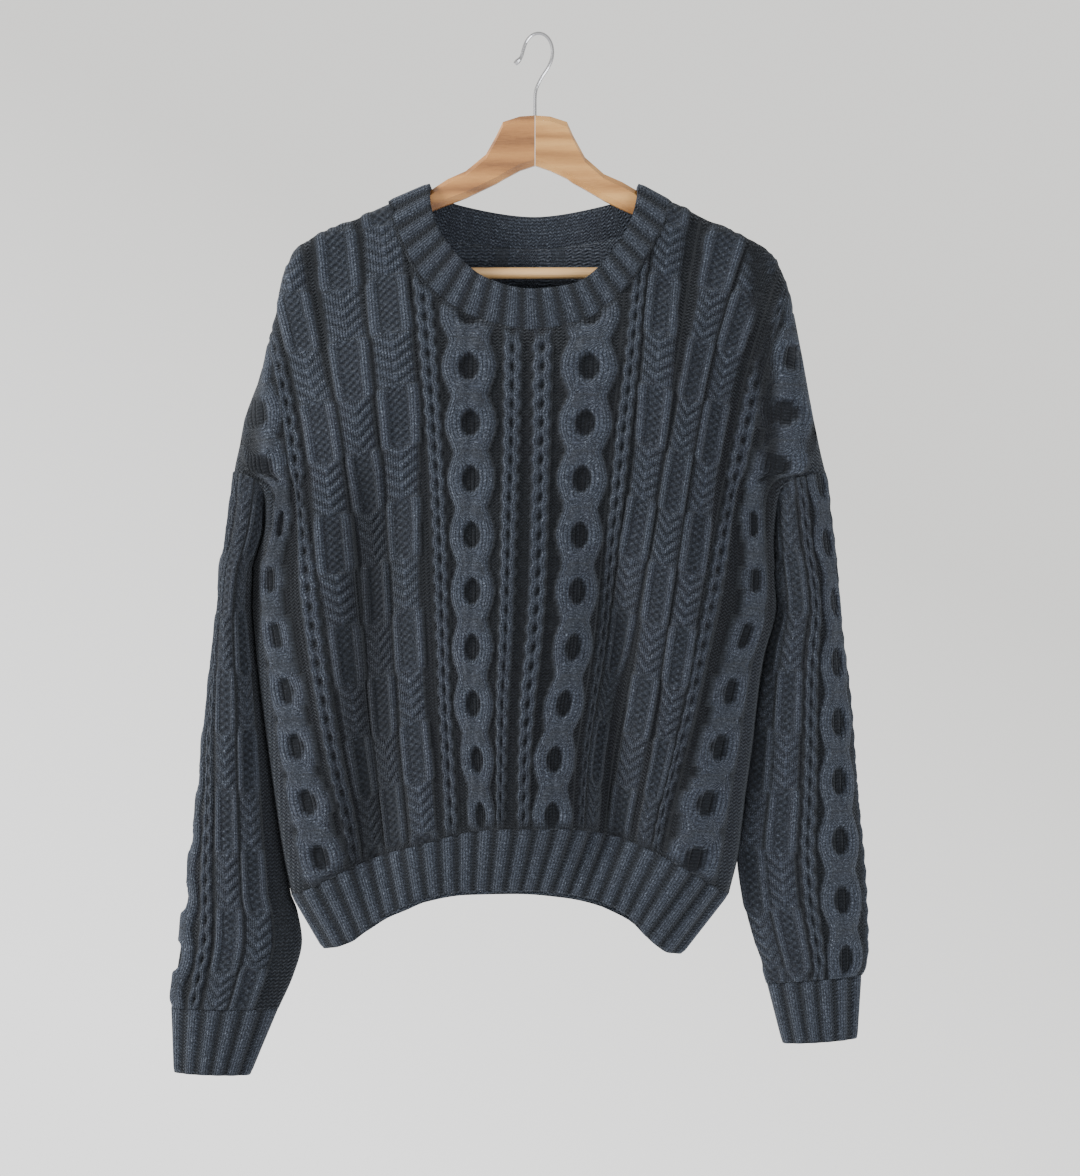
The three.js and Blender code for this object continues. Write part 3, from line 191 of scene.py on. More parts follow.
# columns: drop, outer x, inner x, half depth, middle y
SLEEVE_LEFT = [
    (375, -270.5, -231.2, 26, 0), (391.1, -275.9, -233, 27, 0), (406.2, -275.9, -235.7, 27, 0),
    (422.3, -277.7, -237.5, 26, 0), (443.7, -281.2, -241.1, 26, 0), (462.5, -283.9, -248.2, 27, 0),
    (475.9, -286.6, -253.6, 28, 0), (509.8, -290.2, -257.1, 30, 4), (549.1, -294.6, -253.1, 31, 8),
    (583.9, -297.3, -247.8, 31, 9), (638.4, -303.6, -240.6, 30, 9), (683, -308, -234.4, 28, 8),
    (727.7, -313.4, -227.2, 26, 7), (754.5, -316.1, -222.8, 24, 6), (766.1, -317, -221, 23, 5),
    (783, -319.6, -214.3, 22, 4), (808, -323.2, -210.7, 21, 3), (839.3, -328.6, -218.7, 19, 2),
    (867.9, -332.1, -230.4, 18, 0),
]
# columns: drop, outer x, inner x, half depth, middle y
SLEEVE_RIGHT = [
    (375, 253.6, 194.6, 26, 0), (391.1, 257.1, 196.4, 27, 0), (406.2, 258.9, 199.1, 27, 0),
    (422.3, 259.8, 201.8, 26, 0), (443.7, 262.5, 203.6, 26, 0), (462.5, 265.2, 205.4, 27, 0),
    (475.9, 267, 208, 28, 0), (509.8, 270.5, 212.5, 30, 4), (549.1, 274.1, 202.7, 31, 8),
    (583.9, 277.7, 196.4, 31, 9), (638.4, 283, 189.7, 30, 9), (683, 286.6, 183.9, 28, 8),
    (727.7, 290.2, 176.8, 26, 7), (772.3, 292.9, 180.4, 23, 5), (808, 294.6, 189.3, 21, 3),
    (825.9, 293.8, 195.5, 19, 2), (843.7, 287.5, 199.1, 18, 0),
]
# columns: angle, drop
ARMHOLE = [
    (0, 391.1), (45, 392.9), (80, 395.5), (105, 399.1), (125, 405.4), (140, 415.2), (152, 429.5),
    (163, 447.3), (172, 462.5), (180, 475.9),
]
# columns: angle, top x, top drop, top y, seam x, seam drop, seam y
NECK = [
    (0, -97.3, 134.4, 0, -132.1, 149.1, 0), (7, -97.3, 136.6, -8, -131.7, 151.8, -8.5),
    (16, -97.3, 145.5, -13, -130.4, 163.4, -13.5), (32, -92.9, 167, -17, -121.4, 187.5, -18),
    (52, -75.9, 195.5, -20, -100, 225, -22), (72, -45.5, 220.5, -23, -55.4, 256.2, -25),
    (90, -8.9, 229.5, -24, -7.1, 266.1, -26), (108, 28.6, 225, -23, 41.1, 256.2, -25),
    (128, 59.8, 200.9, -20, 77.7, 224.1, -22), (148, 79.5, 168.7, -17, 100, 186.6, -18),
    (164, 85.7, 145.5, -13, 111.6, 163.4, -13.5), (173, 86.6, 136.6, -8, 113.8, 151.8, -8.5),
    (180, 86.6, 134.4, 0, 114.3, 149.1, 0), (187, 86.2, 136.6, 8, 113.4, 151.8, 9),
    (200, 80.4, 142, 13, 103.6, 167, 15), (230, 55.4, 150, 17, 55.4, 182.1, 20),
    (270, -5.4, 158.9, 20, -7.1, 188.4, 24), (310, -67.9, 150, 17, -72.3, 182.1, 20),
    (340, -91.1, 142, 13, -119.6, 167, 15), (353, -96.4, 136.6, 8, -131.2, 151.8, 9),
]
# columns: x, drop
RIB_TOP = [
    (-227.7, 768.7), (-214.3, 765.2), (-198.2, 758), (-169.6, 743.7), (-133.9, 729.5), (-98.2, 718.7),
    (-62.5, 708.9), (-35.7, 706.2), (17.9, 706.2), (53.6, 711.6), (89.3, 722.3), (125, 740.2),
    (147.3, 754.5), (164.3, 765.2), (174.1, 769.6),
]
# columns: x, drop
HEM_FRONT = [
    (-196.4, 814.3), (-183, 812.5), (-167, 807.1), (-153.6, 797.3), (-136.6, 783.9), (-121.4, 775.9),
    (-103.6, 767.9), (-66.1, 761.6), (-21.4, 760.7), (23.2, 764.3), (51.8, 770.5), (67.9, 777.7),
    (82.1, 787.5), (97.3, 805.4), (114.3, 817), (129.5, 818.7),
]
# columns: drop, x
EDGE_LEFT = [
    (183, -325.9), (236.6, -312.5), (299.1, -296.4), (352.7, -283.9), (375, -277.7), (391.1, -271.4),
    (398.2, -250.9), (405.4, -243.7), (415.2, -241.1), (429.5, -241.1), (447.3, -243.7),
    (462.5, -249.1), (475.9, -254.5), (509.8, -256.2), (549.1, -252.7), (583.9, -249.1), (638.4, -242),
    (683, -235.7), (727.7, -228.6), (766.1, -220.5),
]
# columns: drop, x
EDGE_RIGHT = [
    (183, 299.1), (236.6, 287.5), (299.1, 276.8), (352.7, 266.1), (375, 258.9), (391.1, 252.7),
    (398.2, 219.6), (405.4, 211.6), (415.2, 208), (429.5, 206.2), (447.3, 206.2), (462.5, 208),
    (475.9, 208.9), (509.8, 210.3), (557.1, 198.2), (593.8, 192.9), (627.7, 189.3), (683, 181.7),
    (727.7, 176.3), (763.4, 167.9),
]
# top outer, top inner, end outer, end inner as x and drop
CUFF_LEFT = ((-332.1, 867.9), (-230.4, 867.9), (-328.6, 925), (-256.2, 927))
CUFF_RIGHT = ((287, 838), (197, 845.5), (285, 894.6), (214.3, 899))
RING_TWO = [(400, 0.5), (484, 0.35), (537, 0.4), (591, 0.46), (645, 0.48), (760, 0.55)]


def mix(a, b, t):
    return a + (b - a) * t


def step(a, b, v):
    t = np.clip((v - a) / (b - a), 0, 1)
    return t * t * (3 - 2 * t)


def reader(rows, a, b):
    """Smooth reading of column b of a table by its column a."""
    rows = sorted(rows, key=lambda r: r[a])
    x = np.array([r[a] for r in rows], float)
    y = np.array([r[b] for r in rows], float)
    slope = np.diff(y) / np.diff(x)
    m = np.concatenate([slope[:1], np.zeros(len(x) - 2), slope[-1:]])
    for i in range(1, len(x) - 1):
        if slope[i - 1] * slope[i] > 0:
            m[i] = 2 * slope[i - 1] * slope[i] / (slope[i - 1] + slope[i])

    def read(v):
        v = np.asarray(v, float)
        i = np.clip(np.searchsorted(x, v) - 1, 0, len(x) - 2)
        h = x[i + 1] - x[i]
        t = np.clip((v - x[i]) / h, 0, 1)
        out = y[i] * (1 + 2 * t) * (1 - t) ** 2 + m[i] * h * t * (1 - t) ** 2
        out = out + y[i + 1] * t * t * (3 - 2 * t) + m[i + 1] * h * t * t * (t - 1)
        return out + m[0] * np.minimum(v - x[0], 0) + m[-1] * np.maximum(v - x[-1], 0)

    return read


def inset(points, distance):
    out = []
    for i, p in enumerate(points):
        a, b = points[max(0, i - 1)], points[min(len(points) - 1, i + 1)]
        n = math.hypot(b[0] - a[0], b[1] - a[1])
        out.append((p[0] - distance * (b[1] - a[1]) / n, p[1] + distance * (b[0] - a[0]) / n))
    return out


def nearest(points, x, drop):
    """Distance to a line of points, and where along it the nearest place is."""
    best, at = np.full(x.shape, 1e9), np.zeros(x.shape)
    for i in range(len(points) - 1):
        (ax, ad), (bx, bd) = points[i][:2], points[i + 1][:2]
        along = (x - ax) * (bx - ax) + (drop - ad) * (bd - ad)
        t = np.clip(along / ((bx - ax) ** 2 + (bd - ad) ** 2), 0, 1)
        d = np.hypot(x - mix(ax, bx, t), drop - mix(ad, bd, t))
        m = d < best
        best = np.where(m, d, best)
        at = np.where(m, i + t, at)
    return best, at


def round_edge(d, length, depth):
    return depth * np.sqrt(1 - (1 - np.clip(d / length, 0, 1)) ** 2)


def waves(seed, a, b, size, strength):
    """Soft unevenness: a few slow waves over two lengths."""
    rng = np.random.default_rng(seed)
    out = 0
    for _ in range(7):
        u, w = rng.normal(0, 1, 2) / size
        out = out + np.sin(u * a + w * b + rng.uniform(0, 6.28)) * rng.uniform(0.4, 1)
    return strength * out / 2.6


class Sleeve:
    """A tube of oval sections. Angle 0 is its outer edge, a quarter turn its front, half its inside."""

    def __init__(self, name):
        self.sign = -1 if name == "left" else 1
        rows = SLEEVE_LEFT if name == "left" else SLEEVE_RIGHT
        self.outer, self.inner, self.depth, self.middle = [reader(rows, 0, c) for c in (1, 2, 3, 4)]
        self.cuff = CUFF_LEFT if name == "left" else CUFF_RIGHT
        self.twist = 0 if name == "left" else RIGHT_TWIST
        self.turn = np.linspace(0, 2 * math.pi, 193)

    def point(self, angle, drop):
        a = self.outer(drop) - self.sign * INSET
        b = self.inner(drop) + self.sign * INSET
        x = (a + b) / 2 + (a - b) / 2 * np.cos(angle)
        y = self.middle(drop) - (self.depth(drop) - INSET) * np.sin(angle)
        return np.stack([x, y, -drop + 0 * x], -1)

    def lengths(self, drop):
        p = self.point(self.turn, drop)
        return np.concatenate([[0], np.cumsum(np.linalg.norm(np.diff(p, axis=0), axis=1))])

    def angle_of(self, share, drop):
        table = self.lengths(drop)
        whole = np.floor(share)
        return np.interp((share - whole) * table[-1], table, self.turn)

    def top_of(self, share):
        drop = 430.0
        for _ in range(24):
            d = math.degrees(float(self.angle_of(share, drop)))
            drop = mix(drop, float(armhole_drop(360 - d if d > 180 else d)), 0.6)
        return drop

    def end_of(self, angle):
        return mix(self.cuff[0][1], self.cuff[1][1], (1 - np.cos(angle)) / 2)


armhole_drop = reader(ARMHOLE, 0, 1)
SLEEVES = {name: Sleeve(name) for name in ("left", "right")}
neck_front = [r for r in NECK if r[0] <= 180]
neck_back = [r for r in NECK if r[0] >= 180] + [(360, *NECK[0][1:])]
NECK_LEFT, NECK_RIGHT = neck_front[0][4], neck_front[-1][4]
rib_top = reader(RIB_TOP, 0, 1)
hem_front = reader(HEM_FRONT, 0, 1)
ring_two_share = reader(RING_TWO, 0, 1)


class Side:
    """Half of the body: its outline, its way down the armhole and side seam, and its cable columns."""

    def __init__(self, name, shoulder, side_table, columns, edge):
        self.name = name
        self.sleeve = SLEEVES[name]
        self.sign = self.sleeve.sign
        self.edge_x = reader([(d, x - self.sign * INSET) for d, x in side_table], 0, 1)
        line = inset(shoulder, self.sign * INSET)
        line[-1] = (float(self.sleeve.point(0, ARMHOLE[0][1])[0]), ARMHOLE[0][1])
        lower = [(float(self.sleeve.point(0, d)[0]), d) for d in SLEEVE_DROPS]
        self.outline = line + lower
        self.shoulder_drop = reader(line, 0, 1)
        self.crease, self.floor = [], []
        for degrees, d in ARMHOLE[3:]:
            p = self.sleeve.point(math.radians(degrees), d)
            self.crease.append((float(p[0]), d))
            self.floor.append(-float(p[1]))
        for d in SIDE_DROPS:
            self.crease.append((float(self.edge_x(d)), d))
            self.floor.append(0)
        # the bounds and centres of the cable columns by drop
        self.drops = np.arange(100, 880, 1.0)
        seam = reader(edge, 0, 1)(self.drops)
        c = [reader(columns, 0, i + 2)(self.drops) for i in range(7)]
        c.append(seam + (c[6] - seam) * ring_two_share(self.drops))
        b = [reader(columns, 0, 1)(self.drops)]
        for j in range(1, 8):
            before, after = COLUMN_WEIGHT[j - 1], COLUMN_WEIGHT[j]
            b.append(mix(c[j - 1], c[j], before / (before + after)))
        b += [mix(c[7], seam, 0.6), seam]
        self.centres, self.bounds = c, b

    def line_x(self, v, drop):
        j = min(8, int(v))
        if j == 8:
            x = mix(self.bounds[8], self.bounds[9], v - 8)
        elif v - j < 0.5:
            x = mix(self.bounds[j], self.centres[j], 2 * (v - j))
        else:
            x = mix(self.centres[j], self.bounds[j + 1], 2 * (v - j) - 1)
        return np.interp(drop, self.drops, x)


SIDES = [
    Side("left", SHOULDER_LEFT, SIDE_LEFT, COLUMNS_LEFT, EDGE_LEFT),
    Side("right", SHOULDER_RIGHT, SIDE_RIGHT, COLUMNS_RIGHT, EDGE_RIGHT),
]


def row_sag(v):
    at = 8 + (v - 7.5) / 1.5 if v >= 7.5 else v + 0.5
    i = min(8, int(at))
    return 0 if v < 0.5 else mix(ROW_SAG[i], ROW_SAG[i + 1], at - i)


def plain_depth(x, drop, front):
    """How far the middle of the wall lies in front of (or behind) the hanger's plane."""
    out = np.zeros(x.shape)
    for side in SIDES:
        m = (x < -11) if side.sign < 0 else (x >= -11)
        if not m.any():
            continue
        xs, ds = x[m], drop[m]
        a = nearest(side.outline, xs, ds)[0]
        b, b_at = nearest(side.crease, xs, ds)
        low = step(190, 300, ds)
        edge = round_edge(a, mix(8, 22, low), mix(10, 21, low))
        floor = np.interp(b_at, np.arange(len(side.floor)), side.floor)
        floor = floor + 60 * step(6, -30, ds - side.crease[0][1])
        crease = floor + round_edge(b, 26, 19) + 3 * step(24, 60, b)
        inner = np.minimum(a, b)
        belly = BELLY[front] * step(150, 330, ds) * mix(1, 0.65, step(560, 710, ds)) * step(0, 120, inner)
        folds = sum(
            depth * np.exp(-(((xs - at) / wide) ** 2)) * step(start, full, ds)
            for depth, at, wide, start, full in FOLDS[front]
        )
        out[m] = np.minimum(edge, crease) + belly + folds * step(0, 45, inner)
    return out


def fold_shade_share(x, drop, front):
    """Share of painted shade on the yarn: 1 deep in a fold of the panel, 0 away from the folds."""
    return np.clip(sum(
        share * np.exp(-(((x - at) / wide) ** 2)) * step(start, full, drop)
        for share, at, wide, start, full in FOLD_SHADE[front]
    ), 0, 1)


# The panels' depth is drawn to the neckband's at the neckline
NECK_FIX = {}
for is_front, half_neck in ((True, neck_front), (False, neck_back)):
    line = [(r[4], r[5]) for r in half_neck]
    xs, ds = (np.array([p[i] for p in line], float) for i in (0, 1))
    band = np.array([abs(r[6]) for r in half_neck])
    NECK_FIX[is_front] = (line, band - plain_depth(xs, ds, is_front))


def panel_depth(x, drop, front):
    line, lift = NECK_FIX[front]
    d, at = nearest(line, x, drop)
    lift = np.interp(at, np.arange(len(lift)), lift)
    soft = waves(3 if front else 8, x, drop * 0.45, 34, 2.3) * step(0, 50, d) * step(190, 300, drop)
    for line in [s.crease for s in SIDES] + [s.outline for s in SIDES]:
        soft = soft * step(8, 55, nearest(line, x, drop)[0])
    return plain_depth(x, drop, front) + lift * np.exp(-d / 26) + soft


# Cables. Each gives the height over the ground, the place in stitches across, and the shares of knit stitch
# and moss stitch. The place across is x, k counts rows of the chart, f is the column's share of its width.
def two_strands(x, apart, width):
    d = np.abs(np.abs(x) - apart) / width
    return np.clip(1 - d * d, 0, 1) ** 0.6


def ring_open(k):
    return np.cos(math.pi * k / 3) ** 2


def loop_open(k, phase):
    return 1 - step(1.3, 1.9, np.abs((k - phase + 3) % 6 - 3))


def cable(name, x, k, f, phase=None):
    kind = name.rstrip("ABC123")
    close, opens, strand_half = STRANDS[kind]
    size = np.clip(f, 0.3, 1.25)
    width = strand_half * size
    tall = np.clip(f, 0.4, 1) ** 0.5
    if kind == "ring":
        o = ring_open(k)
        apart = (close + opens * o ** 0.7) * size
        h = RELIEF["ring"] * two_strands(x, apart, width)
        inside = np.abs(x) < apart
        rope = RELIEF["ring"] * (1 - 0.12 * np.cos(2 * math.pi * x / (11 * size)))
        h = np.where(inside, np.maximum(h, rope), h)
        along = (k - 3 * np.round(k / 3)) * ROW
        across_hole, down_hole = x / (RING_HOLE[0] * size), along / RING_HOLE[1]
        hole = 1 - step(0.55, 1.25, across_hole ** 2 + down_hole ** 2)
        h = mix(h, -0.5, hole)
        lean = np.clip(along * np.sign(along) - 12, 0, 12) / 12
        across = np.where(inside, np.abs(x) / apart * 2, 2 + (np.abs(x) - apart) / (STITCH * size))
        across = mix(across, (x + 0.7 * along) / (STITCH * size), lean * inside)
        knit = (np.abs(x) < apart + width).astype(float)
        moss = 0 * x
        twist = 0.9 * np.sin(math.pi * k / 3 * 2) * np.sign(x)
        twist = twist * np.exp(-((np.abs(x) / (5 * size) - 1) ** 2))
        h = h + np.where(inside, twist * (1 - o) * (1 - hole), 0)
    elif kind == "chain":
        o = np.cos(math.pi * k) ** 2
        apart = (close + opens * o) * size
        high = RELIEF["chain"] + 0.55 * np.sin(2 * math.pi * k) * np.sign(x)
        h = high * two_strands(x, apart, width)
        inside = np.abs(x) < apart
        h = np.where(inside, np.maximum(h, mix(2.2, -0.9, o)), h)
        across = (np.abs(x) - apart) / (STITCH * size) + 0.5
        knit = (np.abs(x) < apart + width).astype(float)
        knit = knit * np.where(inside & (o > 0.6) & (h < 1.2), 0, 1)
        moss = 0 * x
    else:
        o = loop_open(k, LOOP_PHASE[name] if phase is None else phase)
        apart = (close + opens * o) * size
        open_part = RELIEF["loop"] * two_strands(x, apart, width)
        inside = np.abs(x) < apart
        open_part = np.where(inside, np.maximum(open_part, 1.2), open_part)
        across = (np.abs(x) - apart) / (STITCH * size) + 1
        strand = np.abs(np.abs(x) - apart) < width
        # where the loop is closed, its strands lie in a stack of V shapes
        slope = np.abs(x) / (12 * size)
        body = np.clip(1 - (x / (STACK_HALF * size)) ** 4, 0, 1) ** 0.6
        wave = np.cos(2 * math.pi * (k * ROW / STACK_PITCH + slope))
        stack = RELIEF["loop"] * body * (0.66 + 0.34 * wave)
        h = mix(stack, open_part, o)
        across = mix(np.abs(x) / (STITCH * size), across, o > 0.5)
        knit = np.where(o > 0.5, strand, body > 0.3).astype(float)
        moss = (inside & ~strand & (o > 0.5)).astype(float)
    across = np.where(knit > 0.5, across, x / STITCH)
    return h * tall, across, knit, moss


# Pieces of fabric: lines of points across which a skin is drawn. Each line is a dictionary of arrays.
def zipper(a, ta, b, tb, out):
    """Triangles between two lines of points, in the order of their places ta and tb."""
    i = j = 0
    na, nb = len(a) - 1, len(b) - 1
    while i < na or j < nb:
        if j == nb or (i < na and ta[i + 1] <= tb[j + 1]):
            out.append((a[i], b[j], a[i + 1]))
            i += 1
        else:
            out.append((a[i], b[j], b[j + 1]))
            j += 1


class Piece:
    """A wall of fabric with a raised outer face, a plain inner face and closed borders."""

    def __init__(self, name, lines, closed, facing=None):
        self.name, self.lines, self.closed = name, lines, closed
        start = 0
        for line in lines:
            n = len(line["t"])
            line["id"] = np.arange(start, start + n)
            start += n
        self.p = np.concatenate([line["p"] for line in lines])
        self.h = np.concatenate([line["h"] for line in lines])
        faces = []
        n = len(lines)
        for i in range(n if closed else n - 1):
            a, b = lines[i], lines[(i + 1) % n]
            zipper(a["id"].tolist(), a["t"].tolist(), b["id"].tolist(), b["t"].tolist(), faces)
        self.faces = np.array(faces)
        tri = self.p[self.faces]
        normal = np.cross(tri[:, 1] - tri[:, 0], tri[:, 2] - tri[:, 0])
        self.normal = np.zeros_like(self.p)
        for c in range(3):
            np.add.at(self.normal, self.faces[:, c], normal)
        out = facing if facing is not None else self.p - self.p.mean(0)
        self.flip = -1 if (self.normal * out).sum() < 0 else 1
        self.normal *= self.flip / np.maximum(np.linalg.norm(self.normal, axis=1), 1e-9)[:, None]

    def area(self):
        tri = self.p[self.faces]
        normal = np.cross(tri[:, 1] - tri[:, 0], tri[:, 2] - tri[:, 0])
        return float(np.linalg.norm(normal, axis=1).sum() / 2)

    def build(self):
        level = [line.get("level", np.zeros(len(line["t"]), bool)) for line in self.lines]
        level = np.concatenate(level)
        self.normal[level, 1] = 0
        self.normal /= np.maximum(np.linalg.norm(self.normal, axis=1), 1e-9)[:, None]
        outer = self.p + self.normal * (WALL / 2 + self.h)[:, None]
        keep_lines = [line for line in self.lines if line["keep"]]
        inner_of, inner_lists, start = [], [], len(outer)
        for line in keep_lines:
            pick = np.flatnonzero(line["kept"])
            ids = np.arange(start, start + len(pick))
            start += len(pick)
            inner_of.append(line["id"][pick])
            inner_lists.append((ids, line["t"][pick], line["id"][pick]))
        inner_of = np.concatenate(inner_of)
        inner = self.p[inner_of] - self.normal[inner_of] * WALL / 2
        faces = [self.faces if self.flip > 0 else self.faces[:, ::-1]]
        back = []
        n = len(inner_lists)
        for i in range(n if self.closed else n - 1):
            a, b = inner_lists[i], inner_lists[(i + 1) % n]
            zipper(a[0].tolist(), a[1].tolist(), b[0].tolist(), b[1].tolist(), back)
        back = np.array(back)
        faces.append(back[:, ::-1] if self.flip > 0 else back)

        def rim(outer_ids, inner_ids, inner_from, turn):
            place = {int(v): i for i, v in enumerate(outer_ids)}
            a, ta = list(outer_ids), list(range(len(outer_ids)))
            b, tb = list(inner_ids), [place[int(v)] for v in inner_from]
            if self.closed:
                a, ta = a + [a[0]], ta + [len(ta)]
                b, tb = b + [b[0]], tb + [len(ta) - 1]
            out = []
            zipper(a, ta, b, tb, out)
            out = np.array(out)
            if turn:
                out = out[:, [0, 2, 1]]
            faces.append(out if self.flip > 0 else out[:, ::-1])

        for end in (0, -1):
            rim([line["id"][end] for line in self.lines], [q[0][end] for q in inner_lists],
                [q[2][end] for q in inner_lists], end == -1)
        if not self.closed:
            rim(self.lines[0]["id"], inner_lists[0][0], inner_lists[0][2], True)
            rim(self.lines[-1]["id"], inner_lists[-1][0], inner_lists[-1][2], False)
        points = np.concatenate([outer, inner]) / 1000
        faces = np.concatenate(faces)
        mesh = bpy.data.meshes.new(self.name)
        mesh.from_pydata(points.tolist(), [], faces.tolist())
        mesh.polygons.foreach_set("use_smooth", [True] * len(faces))
        for key in ("across", "along", "knit", "moss", "painted_shade"):
            values = np.concatenate([line[key] for line in self.lines])
            inside = values[inner_of] if key in ("across", "along") else np.zeros(len(inner_of))
            data = mesh.attributes.new(key, "FLOAT", "POINT")
            data.data.foreach_set("value", np.concatenate([values, inside]).astype(np.float32))
        mesh.update()
        piece = bpy.data.objects.new(self.name, mesh)
        bpy.context.collection.objects.link(piece)
        return piece



def rows_between(start, pitch, top, end):
    """Drops of the points of a line: the chart's rows between its two ends, and the ends."""
    k = np.arange(FIRST_ROW, LAST_ROW, 1 / ROW_PARTS)
    drops = start + k * pitch
    inside = drops[(drops > top + 0.6 * FINE) & (drops < end - 0.6 * FINE)]
    return np.concatenate([[top], inside, [end]])


def kept_rows(n, every, first=1):
    """Which points of a line the plain inner face keeps."""
    i = np.arange(n)
    return (i % every == 0) | (i < first) | (i == n - 1)


# Sleeves
def sleeve_lines(s):
    n = 2 * round(SLEEVE_AROUND / FINE)
    girth_drops = np.arange(*SLEEVE_RANGE, 5.0)
    girth = reader([(d, s.lengths(d)[-1]) for d in girth_drops], 0, 1)
    grid = np.arange(*SLEEVE_RANGE, 2.0)
    tables = [s.lengths(d) for d in grid]
    lines = []
    for i in range(n):
        share = i / n
        q = share - s.twist
        q = q - math.floor(q + 0.5)
        top = s.top_of(share)
        turn = np.array([np.interp(share * t[-1], t, s.turn) for t in tables])
        end = float(s.end_of(np.interp(850, grid, turn)))
        drops = rows_between(SLEEVE_RING_DROP, SLEEVE_ROW, top, end)
        angle = np.interp(drops, grid, turn)
        p = s.point(angle, drops)
        p[0] = s.point(s.angle_of(share, top), top)
        soft = waves(5 if s.sign < 0 else 6, angle * 34, drops * 0.6, 26, 1.3)
        soft = soft * step(top + 10, top + 60, drops) * step(end - 5, end - 40, drops)
        p[:, 0] += s.sign * soft * np.cos(angle)
        p[:, 1] -= soft * np.sin(angle)
        k = (drops - SLEEVE_RING_DROP) / SLEEVE_ROW
        g = girth(drops)
        a = abs(q)
        column = next((c for c in SLEEVE_COLUMNS if a < c[0]), None)
        if column:
            _, name, centre, part, drawn, phase = column
            h, across, knit, moss = cable(name, (a - centre) * g, k, part * g / drawn, phase)
        else:
            h, across, knit, moss = PLAIN_HEIGHT + 0 * k, a * g / STITCH, 0 * k, 0 * k
        cable_h = h + 0 * k
        fade = step(top - 4, top + 16, drops) * step(end + 6, end - 14, drops)
        crease = step(392, 402, top) * step(top + 34, top + 6, drops)
        h = mix(mix(WELT_HEIGHT["sleeve"], 1, fade) * h, THIN, crease)
        deep = top > 396
        beside = np.exp(-(((angle - math.pi) / 0.55) ** 2))
        beside = beside * step(462, 490, drops) * step(790, 740, drops)
        add, cap = BESIDE_BODY[s.sign]
        h = mix(h, np.minimum(h + add, cap), beside)
        # painted shade: the yarn is darkened in the hollows of the cable relief
        lines.append({
            "p": p, "t": drops, "h": h,
            "across": across, "along": k * ROW_STITCHES, "knit": knit, "moss": moss,
            "painted_shade": np.clip(1 - cable_h / SHADE_HEIGHT, 0, 1),
            "kept": kept_rows(len(drops), 4, 3) | (deep & (drops < top + 60)),
            "keep": deep or i % 3 == 0 or i in (0, n // 2),
        })
    return lines


# Front and back
def first_crossing(goal, path, low, high):
    """The drop at which a line, x by drop, first reaches a goal, drop by x."""
    d = np.arange(low, high, 0.5)
    gap = d - goal(path(d))
    i = max(1, int(np.argmax(gap >= 0)))
    a, b = gap[i - 1], gap[i]
    return float(d[i] if a >= 0 else mix(d[i - 1], d[i], -a / (b - a)))


def hem_middle(x):
    return step(-190, -110, x) * step(125, 60, x)


def rib_top_of(x, front):
    return rib_top(x) + (0 if front else BACK_HEM_LOWER / 2 * hem_middle(x))


